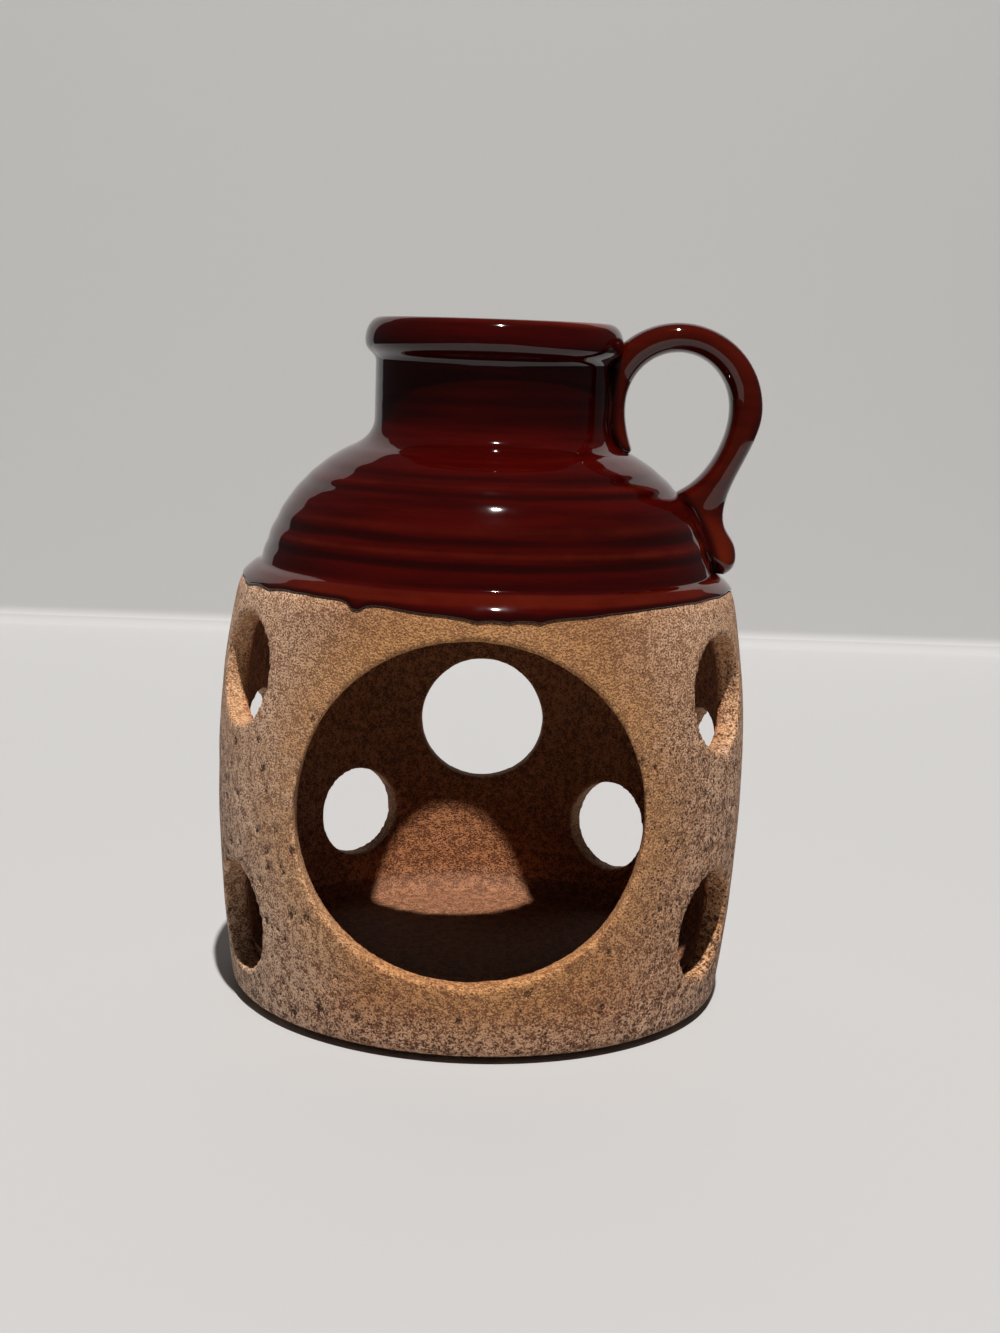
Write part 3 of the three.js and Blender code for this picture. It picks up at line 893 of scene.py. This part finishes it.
# %% [markdown]
# ## Pulling the strap
# A sweep along a curve would keep one section all the way, but a pulled strap swells and thins. So one
# ring is added for each station, shaped to the strap's section there, and all rings are bridged into a
# tube. The section is a soft rounded bar. It widens where the thumb pressed the ends onto the pot.

# %% Pull the strap
SECTION_SIDES = 36
SECTION_SOFTNESS = 2.5
STRAP_MARGIN = 0.4
STRAP_WAIST = 1.4
TOE_SPREAD = 1.6
TAIL_SPREAD = 2.2
TIP_NARROW = 3.2
half_strap = handle_high.y - STRAP_MARGIN


def strap_half_width(station):
    """Half the strap's width at a station."""
    last = len(strap_inner) - 1
    toe = 1 - smooth_step(0, LEG_STATIONS + 2, station)
    tail = smooth_step(last - 2 * TAIL_STATIONS, last - 4, station)
    tip = smooth_step(last - 5, last, station)
    return half_strap - STRAP_WAIST + TOE_SPREAD * toe + TAIL_SPREAD * tail - TIP_NARROW * tip


def soft(value):
    """Push a sine or cosine towards its ends, which squares the section a little."""
    return math.copysign(abs(value) ** (2 / SECTION_SOFTNESS), value)


def strap_ring(station):
    """Add the ring of one station, square to the strap."""
    inner = Vector((strap_inner[station][0], 0, strap_inner[station][1]))
    outer = Vector((strap_outer[station][0], 0, strap_outer[station][1]))
    bpy.ops.mesh.primitive_circle_add(vertices=SECTION_SIDES)
    ring = bpy.context.object
    half_thick = (outer - inner) / 2
    half_wide = Vector((0, strap_half_width(station), 0))
    for i, vertex in enumerate(ring.data.vertices):
        turn = math.tau * i / SECTION_SIDES
        place = (inner + outer) / 2 + half_thick * soft(math.cos(turn)) + half_wide * soft(math.sin(turn))
        vertex.co = place * MM
    return ring


begin()
rings = [strap_ring(station) for station in range(len(strap_inner))]
begin()
for ring in rings:
    ring.select_set(True)
bpy.context.view_layer.objects.active = rings[0]
bpy.ops.object.join()
handle = name_piece("handle")
edit_all()
bpy.ops.mesh.bridge_edge_loops()
bpy.ops.mesh.select_all(action="DESELECT")
bpy.ops.mesh.select_non_manifold()
bpy.ops.mesh.fill_holes(sides=SECTION_SIDES)
close_up(handle)
finish_with(handle, "SMOOTH", factor=0.5, iterations=3)
finish_with(handle, "SUBSURF", levels=1, render_levels=1)
choose(handle)
bpy.ops.object.shade_smooth()
print("handle faces:", len(handle.data.polygons))

# %% Masks for the handle
STRAP_THIN = 0.1
# amber on the strap's sides, partly thin glaze and partly painted light: how much, and how much more on the
# tail
SIDE_THIN_AND_LIT = 0.36
TAIL_SIDE_THIN_AND_LIT = 0.3
TAIL_THIN_END = (160, 190)
STRAP_POOL = 0.3
NEAR_POT_POOL = 0.6
NEAR_POT = (1, 5)

strap_thin_and_lit = []
strap_pool = []
for x, y, z in points_of(handle):
    side = abs(y) / half_strap
    tail = 1 - smooth_step(*TAIL_THIN_END, z)
    # both rounded sides of the strap turn amber, most on the tail: partly the glaze thinning over the edge,
    # partly painted light like that on the side facing the lamp and camera
    strap_thin_and_lit.append(STRAP_THIN + SIDE_THIN_AND_LIT * side + TAIL_SIDE_THIN_AND_LIT * tail * side)
    near_pot = 1 - smooth_step(*NEAR_POT, math.hypot(x, y) - pot_radius(min(z, neck_foot)))
    strap_pool.append(STRAP_POOL + NEAR_POT_POOL * near_pot)
set_mask(handle, "thin_and_lit", strap_thin_and_lit)
set_mask(handle, "pool_and_shade", strap_pool)
print("thinnest glaze on the handle:", round(max(strap_thin_and_lit), 2))

# %% [markdown]
# ## Luting pads
# Soft clay squeezed out round both ends of the strap and was smoothed onto the pot, so each end sits on
# a low swelling. A round ball is flattened for each one and laid on the pot's curve: its height above
# the surface stays, and its width is wrapped round.

# %% Lay the pads
PAD_RISE = 1.5
PAD_MARGIN = 2.6
PAD_POOL = 0.45


def pad(name, node):
    """A flattened ball of clay, laid on the pot over the place of a solid."""
    low, high = node_box(node)
    begin()
    bpy.ops.mesh.primitive_uv_sphere_add(segments=64, ring_count=32, radius=1)
    piece = name_piece(name)
    edit_all()
    half_wide = (high.y + PAD_MARGIN) * MM
    half_tall = ((high.z - low.z) / 2 + PAD_MARGIN) * MM
    bpy.ops.transform.resize(value=(2 * PAD_RISE * MM, half_wide, half_tall))
    bpy.ops.transform.translate(value=(0, 0, (low.z + high.z) / 2 * MM))
    bpy.ops.object.mode_set(mode="OBJECT")
    laid = points_of(piece)
    for index, (rise, across, z) in enumerate(laid):
        surface = pot_radius(min(z, neck_foot)) - PAD_RISE / 2
        turn = across / surface
        reach = surface + rise
        laid[index] = (reach * math.cos(turn), reach * math.sin(turn), z)
    set_points(piece, laid)
    close_up(piece)
    bpy.ops.object.shade_smooth()
    set_mask(piece, "thin_and_lit", np.zeros(len(laid)))
    set_mask(piece, "pool_and_shade", np.full(len(laid), PAD_POOL))
    return piece


upper_pad = pad("upper_pad", "handle_upper_pad")
lower_pad = pad("lower_pad", "handle_lower_pad")
print("pads:", upper_pad.name, lower_pad.name)

# %% [markdown]
# ## Building materials with small helpers
# Shader nodes are long to write one by one. These helpers add a node with its inputs in one call, and
# wrap those that come up all the time: a blend of colours, the sums, a range, a noise and a mask. Each
# adds to the tree that its first input belongs to. Colours are written as a screen would show them and
# turned into the linear numbers that the shader wants.

# %% Node helpers
def tint(red, green, blue):
    """Screen colour, 0 to 255, as linear shader colour."""
    def linear(value):
        share = value / 255
        return share / 12.92 if share <= 0.04045 else ((share + 0.055) / 1.055) ** 2.4
    return (linear(red), linear(green), linear(blue), 1)


def feed(node, inputs):
    """Give a node its inputs: each a value, or a socket to link."""
    for key, value in inputs.items():
        if isinstance(value, bpy.types.NodeSocket):
            node.id_data.links.new(value, node.inputs[key])
        else:
            node.inputs[key].default_value = value


def add_node(tree, kind, inputs, **settings):
    """One node, with its inputs and its settings."""
    made = tree.nodes.new(kind)
    for key, value in settings.items():
        setattr(made, key, value)
    feed(made, inputs)
    return made


def blend(share, low, high):
    """Blend two colours by a share."""
    inputs = {0: share, 6: low, 7: high}
    return add_node(share.id_data, "ShaderNodeMix", inputs, data_type="RGBA").outputs[2]


def sums(operation, first, second):
    """One sum of two numbers."""
    inputs = {0: first, 1: second}
    return add_node(first.id_data, "ShaderNodeMath", inputs, operation=operation).outputs[0]


def plus(first, second):
    return sums("ADD", first, second)


def minus(first, second):
    return sums("SUBTRACT", first, second)


def times(first, second):
    return sums("MULTIPLY", first, second)


def larger(first, second):
    return sums("MAXIMUM", first, second)


def within(value, low, high, to_low=0.0, to_high=1.0):
    """Eased change of a value from one range to another."""
    inputs = {"Value": value, "From Min": low, "From Max": high, "To Min": to_low, "To Max": to_high}
    made = add_node(value.id_data, "ShaderNodeMapRange", inputs, interpolation_type="SMOOTHSTEP")
    return made.outputs[0]


def noise_of(vector, scale, detail, roughness):
    """Noise value at a scale in features per metre."""
    inputs = {"Vector": vector, "Scale": scale, "Detail": detail, "Roughness": roughness}
    return add_node(vector.id_data, "ShaderNodeTexNoise", inputs).outputs["Fac"]


def mask_of(tree, name):
    """A mask that the piece carries on its points."""
    return add_node(tree, "ShaderNodeAttribute", {}, attribute_name=name).outputs["Fac"]


def place_of(tree):
    """Place on the piece, in metres."""
    return add_node(tree, "ShaderNodeTexCoord", {}).outputs["Object"]


def new_group(name, inputs, outputs):
    """An empty shader node group with named sockets."""
    group = bpy.data.node_groups.new(name, "ShaderNodeTree")
    for socket, kind in inputs.items():
        group.interface.new_socket(socket, in_out="INPUT", socket_type=kind)
    for socket, kind in outputs.items():
        group.interface.new_socket(socket, in_out="OUTPUT", socket_type=kind)
    return group, group.nodes.new("NodeGroupInput"), group.nodes.new("NodeGroupOutput")


def new_material(name):
    """An empty material with its Principled shader."""
    material = bpy.data.materials.new(name)
    material.use_nodes = True
    tree = material.node_tree
    return material, tree, tree.nodes["Principled BSDF"]


print("one tint:", [round(v, 3) for v in tint(178, 136, 92)])

# %% [markdown]
# ## Stoneware grain
# Coarse stoneware is a mix of pale and brown grains about a millimetre across, with specks of iron
# burnt nearly black. Wall and floor share this, so it is one node group: a fine and a coarse noise for
# the grains, a cell pattern whose cells each draw their own speck size, and slow clouds for the firing.

# %% Node group: stoneware grain
SAND_SCALE = 1450.0
SAND_RANGE = (0.3, 0.68)
CLUMP_SCALE = 330.0
CLUMP_RANGE = (0.4, 0.6)
SPECK_SCALE = 900.0
SPECK_LOSS = 0.55
SPECK_EDGE = (-0.1, 0.06, 1.0, 0.0)
RAGGED = 0.0012
CLOUD_SCALE = 26.0
CLOUD_SHARE = 0.6
MOTTLE_SCALE = 170.0
MOTTLE_SHARE = 0.4

FLOAT = "NodeSocketFloat"
grain, grain_in, grain_out = new_group(
    "stoneware_grain",
    {"Vector": "NodeSocketVector", "Speckle": FLOAT, "Coarse": FLOAT},
    {"Grain": FLOAT, "Speck": FLOAT, "Cloud": FLOAT, "Height": FLOAT},
)
place = grain_in.outputs["Vector"]
sand = add_node(grain, "ShaderNodeTexNoise", {"Vector": place, "Scale": SAND_SCALE, "Detail": 2.0}).outputs
clump = noise_of(place, CLUMP_SCALE, 4.0, 0.75)
clumps = within(times(plus(sand["Fac"], clump), 0.5), *CLUMP_RANGE)
grains = blend(grain_in.outputs["Coarse"], within(sand["Fac"], *SAND_RANGE), clumps)
vectors = {0: sand["Color"], 1: (RAGGED, RAGGED, RAGGED)}
shift = add_node(grain, "ShaderNodeVectorMath", vectors, operation="MULTIPLY").outputs[0]
ragged = add_node(grain, "ShaderNodeVectorMath", {0: place, 1: shift}, operation="ADD").outputs[0]
cells = add_node(grain, "ShaderNodeTexVoronoi", {"Vector": ragged, "Scale": SPECK_SCALE}).outputs
draw = add_node(grain, "ShaderNodeSeparateColor", {0: cells["Color"]}).outputs[0]
speck_size = minus(times(draw, grain_in.outputs["Speckle"]), SPECK_LOSS)
speck = within(minus(cells["Distance"], speck_size), *SPECK_EDGE)
cloud = times(noise_of(place, CLOUD_SCALE, 3.0, 0.55), CLOUD_SHARE)
cloud = plus(cloud, times(noise_of(place, MOTTLE_SCALE, 2.0, 0.5), MOTTLE_SHARE))
feed(grain_out, {"Grain": grains, "Speck": speck, "Cloud": cloud, "Height": minus(grains, speck)})
print("group:", grain.name)

# %% [markdown]
# ## Bare stoneware
# The wall is unglazed, but not one colour: tan where it is plain, orange where the cuts flashed, and thick
# with specks right of the window and at the foot. Towards the left and right it turns paler and greyer, a
# painted sheen that stands for the sky's light at a grazing angle. Low on the left and just above the foot
# a painted glint lightens the pale grains. Three functions tell these zones apart, mix the clay between the
# grains and size the specks. A fourth puts it all together. The shader stays rough.

# %% Zones of the clay
# where each zone starts and where it is full, in metres
LEFT_SIDE = (-0.03, -0.08)
RIGHT_SIDE = (0.035, 0.08)
LOW_WALL = (0.1, 0.015)
FOOT_BAND = (0.022, 0.004)
BESIDE_WINDOW = (0.14, 0.07)
PEPPER_HEIGHTS = (0.15, 0.11)
# ranges of the clouds: from, to, and what they become
WARM_CLOUD = (0.4, 0.6)
# painted sheen of the sides: the cloud range that breaks it up, then its share on the right and at the foot
SIDE_SHEEN_CLOUD = (0.7, 0.3, 0.6, 1.0)
RIGHT_SIDE_SHEEN = 0.7
FOOT_SIDE_SHEEN = 0.15
LOW_SHARE = 0.6
SPECKLE = 0.8
ZONE_SPECKLE = 0.13
FOOT_SPECKLE = 0.36
PEPPER_SPECKLE = 0.3
# fewer specks where the painted glint lies on the grains
GLINT_LESS_SPECKLE = 0.2


def clay_zones(place):
    """Shares from 0 to 1 that tell the sides, the lower wall and the foot apart."""
    x, _, z = add_node(place.id_data, "ShaderNodeSeparateXYZ", {0: place}).outputs
    left = within(x, *LEFT_SIDE)
    right = within(x, *RIGHT_SIDE)
    low = within(z, *LOW_WALL)
    return {
        "low": low,
        "foot": within(z, *FOOT_BAND),
        "beside": times(larger(left, right), within(z, *BESIDE_WINDOW)),
        # the sides, where a painted sheen pales the clay
        "side_sheen": larger(left, times(right, RIGHT_SIDE_SHEEN)),
        "pepper": times(right, within(z, *PEPPER_HEIGHTS)),
        # low on the left, where a painted glint lightens the grains
        "grain_glint": times(left, low),
    }


def clay_ground(zones, cloud, colours):
    """Colour of the clay between its grains, from plain tan to the pale painted sheen of the sides."""
    ground = blend(within(cloud, *WARM_CLOUD), colours["plain"], colours["warm"])
    ground = blend(times(zones["low"], LOW_SHARE), ground, colours["low"])
    # painted sheen: the clay turns pale grey towards the sides, and a little at the foot
    side_sheen = larger(zones["side_sheen"], times(zones["foot"], FOOT_SIDE_SHEEN))
    return blend(times(side_sheen, within(cloud, *SIDE_SHEEN_CLOUD)), ground, colours["side_sheen"])


def wall_speckle(zones):
    """How large the specks of the wall grow."""
    # the sides that carry the painted sheen also carry more specks
    speckle = times(plus(zones["side_sheen"], zones["low"]), ZONE_SPECKLE)
    speckle = plus(speckle, times(zones["foot"], FOOT_SPECKLE))
    speckle = plus(speckle, times(zones["pepper"], PEPPER_SPECKLE))
    # fewer specks under the painted glint
    speckle = minus(speckle, times(zones["grain_glint"], GLINT_LESS_SPECKLE))
    return plus(speckle, SPECKLE)


print("fully grey left of", LEFT_SIDE[1], "m")

# %% Material: bare stoneware
LEAST_COARSE = 0.65
PEPPER_GRAIN = 0.7
PLAIN_GRAIN = 0.87
STRONG_GRAIN = 0.13
TOAST_LESS_GRAIN = 0.25
TOAST_CLOUD = (0.3, 0.6, 0.25, 0.7)
# painted glint on the pale grains: its share, and how strong it is at the foot
GRAIN_GLINT_SHARE = 0.5
FOOT_GRAIN_GLINT = 0.7
PIT_RAGGED = (0.0, 1.0, 1.3, 0.7)
PIT_EDGE = (0.35, 0.75)
IRON_SHARE = 0.85
CLAY_ROUGHNESS = (0.0, 1.0, 0.62, 0.78)


def stoneware(name, colours, is_wall):
    """Bare clay. Only the wall carries the toast, inside and pit masks."""
    material, tree, shader = new_material(name)
    place = place_of(tree)
    zones = clay_zones(place)
    coarse = larger(larger(zones["low"], zones["beside"]), LEAST_COARSE)
    strong = larger(zones["low"], times(zones["pepper"], PEPPER_GRAIN))
    speckle = SPECKLE
    if is_wall:
        inside = mask_of(tree, "inside")
        coarse = larger(coarse, inside)
        strong = larger(strong, inside)
        speckle = wall_speckle(zones)
    inputs = {"Vector": place, "Speckle": speckle, "Coarse": coarse}
    clay = add_node(tree, "ShaderNodeGroup", inputs, node_tree=grain).outputs
    ground = clay_ground(zones, clay["Cloud"], colours)
    brown = plus(times(strong, STRONG_GRAIN), PLAIN_GRAIN)
    if is_wall:
        toast = times(mask_of(tree, "toast"), within(clay["Cloud"], *TOAST_CLOUD))
        ground = blend(toast, ground, colours["toast"])
        ground = blend(inside, ground, colours["inside"])
        brown = minus(brown, times(toast, TOAST_LESS_GRAIN))
    brown = times(within(clay["Grain"], 0.0, 1.0, 1.0, 0.0), brown)
    colour = blend(brown, ground, colours["grain"])
    dark = clay["Speck"]
    if is_wall:
        # painted highlight: the pale grains glint just above the foot and low on the left
        grain_glint = larger(times(zones["foot"], FOOT_GRAIN_GLINT), zones["grain_glint"])
        colour = blend(times(times(grain_glint, clay["Grain"]), GRAIN_GLINT_SHARE), colour, colours["grain_glint"])
        pits = times(mask_of(tree, "pit"), within(clay["Grain"], *PIT_RAGGED))
        dark = larger(dark, within(pits, *PIT_EDGE))
    relief = {"Strength": 0.7, "Distance": 0.0004, "Height": clay["Height"]}
    finish = {
        "Base Color": blend(times(dark, IRON_SHARE), colour, colours["iron"]),
        "Roughness": within(clay["Grain"], *CLAY_ROUGHNESS),
        "Normal": add_node(tree, "ShaderNodeBump", relief).outputs["Normal"],
        "Specular IOR Level": 0.25,
    }
    feed(shader, finish)
    return material


WALL_COLOURS = {
    "plain": tint(163, 118, 80),
    "warm": tint(137, 95, 62),
    "low": tint(203, 143, 101),
    # painted sheen of the grazing sides
    "side_sheen": tint(244, 206, 176),
    "toast": tint(203, 149, 94),
    "inside": tint(187, 124, 81),
    "grain": tint(104, 60, 33),
    # painted glint on the pale grains
    "grain_glint": tint(214, 188, 164),
    "iron": tint(54, 29, 16),
}
FLOOR_COLOURS = {
    "plain": tint(160, 112, 81),
    "warm": tint(151, 103, 73),
    "low": tint(157, 108, 78),
    # the floor's painted sheen, close to its plain colour
    "side_sheen": tint(159, 113, 83),
    "grain": tint(100, 62, 40),
    "iron": tint(54, 29, 16),
}
wall_clay = stoneware("bare_stoneware_wall", WALL_COLOURS, True)
floor_clay = stoneware("bare_stoneware_floor", FLOOR_COLOURS, False)
print("clays:", wall_clay.name, floor_clay.name)

# %% [markdown]
# ## Oxblood glaze
# The glaze is glass coloured by iron: deep red-brown, nearly black where it pools and amber where it
# breaks. Its colour comes from the two masks, loosened by noise, with faint bands along the throwing; the
# masks also bring in a painted shade on the neck under the rim and painted light on the handle's sides. The
# gloss is the shader's own: smooth, with only the slightest ripple, so that it mirrors what stands round.

# %% Material: oxblood glaze
DEEP_RED = tint(40, 2, 1)
BRIGHT_RED = tint(58, 4, 2)
AMBER = tint(106, 33, 11)
POOL_AND_SHADE_DARK = tint(29, 2, 1)
STREAK_RANGE = (0.3, 0.7)
DRIFT_SCALE = 45.0
LOOSE = 0.4
POOL_AND_SHADE_RANGE = (0.12, 0.85)
POOL_AND_SHADE_SHARE = 0.9
THIN_AND_LIT_RANGE = (0.15, 1.0)
RIPPLE_SCALE = 130.0
FINGER_SHARE = 0.04
GLAZE_ROUGHNESS = (0.3, 0.7, 0.02, 0.055)

glaze, tree, shader = new_material("oxblood_glaze")
place = place_of(tree)
streaks = add_node(tree, "ShaderNodeMapping", {"Vector": place, "Scale": (16, 16, 240)}).outputs[0]
streak = noise_of(streaks, 1.0, 3.0, 0.6)
drift = noise_of(place, DRIFT_SCALE, 3.0, 0.6)
loose = times(minus(drift, 0.5), LOOSE)
# pooled glaze, and the painted shade on the neck, turn the glaze nearly black
pooled_and_shaded = within(plus(mask_of(tree, "pool_and_shade"), loose), *POOL_AND_SHADE_RANGE)
# thin glaze, and the painted light on the handle's sides, turn the glaze amber
thinned_and_lit = within(plus(mask_of(tree, "thin_and_lit"), loose), *THIN_AND_LIT_RANGE)
body = blend(within(streak, *STREAK_RANGE), DEEP_RED, BRIGHT_RED)
body = blend(thinned_and_lit, body, AMBER)
body = blend(times(pooled_and_shaded, POOL_AND_SHADE_SHARE), body, POOL_AND_SHADE_DARK)
fingers = add_node(tree, "ShaderNodeMapping", {"Vector": place, "Scale": (25, 25, 900)}).outputs[0]
finger_marks = times(noise_of(fingers, 1.0, 2.0, 0.5), FINGER_SHARE)
ripple = plus(noise_of(place, RIPPLE_SCALE, 1.0, 0.5), finger_marks)
relief = {"Strength": 0.12, "Distance": 0.0006, "Height": ripple}
finish = {
    "Base Color": body,
    "Roughness": within(drift, *GLAZE_ROUGHNESS),
    "Normal": add_node(tree, "ShaderNodeBump", relief).outputs["Normal"],
    "IOR": 1.5,
}
feed(shader, finish)
print("glaze:", glaze.name)

# %% [markdown]
# ## Putting the pieces on the frame
# Every piece stands for one solid, which is then hidden, and rides on the jug's only body, because a
# fired jug has no moving parts. Each one gets the material listed beside it.

# %% Ride, replace and finish
PIECES = [
    # piece, solid that it stands for, finish slot, material
    (barrel, "pierced_wall", "bare_stoneware", wall_clay),
    (jug_floor, "floor_disc", "bare_stoneware", floor_clay),
    (corner_coil, "floor_corner_coil", "bare_stoneware", floor_clay),
    (shoulder, "shoulder_dome", "oxblood_glaze", glaze),
    (neck, "neck_collar", "oxblood_glaze", glaze),
    (rim, "rim_roll", "oxblood_glaze", glaze),
    (handle, "handle_strap", "oxblood_glaze", glaze),
    (upper_pad, "handle_upper_pad", "oxblood_glaze", glaze),
    (lower_pad, "handle_lower_pad", "oxblood_glaze", glaze),
]
for piece, node, slot, material in PIECES:
    piece.data.materials.clear()
    piece.data.materials.append(material)
    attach(piece, "root")
    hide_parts(node)
    print(piece.name, "stands for", node)

# %% [markdown]
# ## Floor and backdrop
# The jug stands on a plain pale floor that turns up into a plain pale wall. One plane does both: its
# far edge is extruded upwards and the corner is beveled round.

# %% Sweep
SWEEP_LEFT = -0.88
SWEEP_RIGHT = 0.66
SWEEP_BACK = 0.84
SWEEP_FRONT = -2.4
SWEEP_HEIGHT = 1.0
SWEEP_ROUND = 0.015
PAPER_SHADES = {"floor_paper": 0.42, "wall_paper": 0.50}


def pick_edges(belongs):
    """Select the sweep's edges whose ends both belong, and edit them."""
    bpy.ops.object.mode_set(mode="OBJECT")
    for edge in sweep.data.edges:
        edge.select = all(belongs(sweep.data.vertices[i].co) for i in edge.vertices)
    bpy.ops.object.mode_set(mode="EDIT")


begin()
bpy.ops.mesh.primitive_plane_add(size=2, location=(0, 0, 0))
sweep = name_piece("sweep")
for vertex in sweep.data.vertices:
    vertex.co.x = SWEEP_RIGHT if vertex.co.x > 0 else SWEEP_LEFT
    vertex.co.y = SWEEP_BACK if vertex.co.y > 0 else SWEEP_FRONT
bpy.ops.object.mode_set(mode="EDIT")
bpy.ops.mesh.select_all(action="DESELECT")
pick_edges(lambda end: end.y > 0)
bpy.ops.mesh.select_mode(type="EDGE")
bpy.ops.mesh.extrude_region_move(TRANSFORM_OT_translate={"value": (0, 0, SWEEP_HEIGHT)})
pick_edges(lambda end: end.y > 0 and end.z < SWEEP_HEIGHT / 2)
bpy.ops.mesh.bevel(offset=SWEEP_ROUND, segments=12, affect="EDGES")
bpy.ops.object.mode_set(mode="OBJECT")
bpy.ops.object.shade_smooth()

for name, shade in PAPER_SHADES.items():
    paper, _, shader = new_material(name)
    feed(shader, {"Base Color": (shade, shade, shade, 1), "Roughness": 0.7})
    sweep.data.materials.append(paper)
for face in sweep.data.polygons:
    face.material_index = 0 if abs(face.normal.z) > 0.5 else 1
print("sweep faces:", len(sweep.data.polygons))

# %% [markdown]
# ## Light
# One lamp stands high in front, a little to the right, far enough off for its rays to run side by side.
# It sends a patch of light down through the mouth onto the floor inside and leaves small glints on the
# glaze. The pale wall behind is what the glaze mirrors along its edges. A dim sky fills the shadows: the
# camera sees it as pale paper, so that the jug stands on a pale ground from every side.

# %% Key lamp
KEY_AZIMUTH = 8.5
KEY_ELEVATION = math.radians(71)
KEY_DISTANCE = 7.0
KEY_SIZE = 0.15
KEY_POWER = 765.0

begin()
bpy.ops.object.light_add(type="AREA")
key_lamp = bpy.context.object
key_lamp.name = "key_lamp"
key_lamp.data.shape = "DISK"
key_lamp.data.size = KEY_SIZE
key_lamp.data.energy = KEY_POWER
key_lamp.data.color = (1.0, 0.97, 0.94)
towards_lamp = outward(KEY_AZIMUTH) * math.cos(KEY_ELEVATION) + Vector((0, 0, math.sin(KEY_ELEVATION)))
key_lamp.location = towards_lamp * KEY_DISTANCE
key_lamp.rotation_euler = towards_lamp.to_track_quat("Z", "Y").to_euler()
print("key lamp at", [round(v, 2) for v in key_lamp.location])

# %% Sky
SKY_FILL = (0.04, 0.04, 0.042, 1)
SKY_SEEN = (0.5, 0.5, 0.5, 1)

sky = bpy.context.scene.world or bpy.data.worlds.new("sky")
bpy.context.scene.world = sky
sky.use_nodes = True
tree = sky.node_tree
seen = add_node(tree, "ShaderNodeLightPath", {}).outputs["Is Camera Ray"]
feed(tree.nodes["Background"], {"Color": blend(seen, SKY_FILL, SKY_SEEN)})
bpy.context.scene.view_settings.view_transform = "Standard"
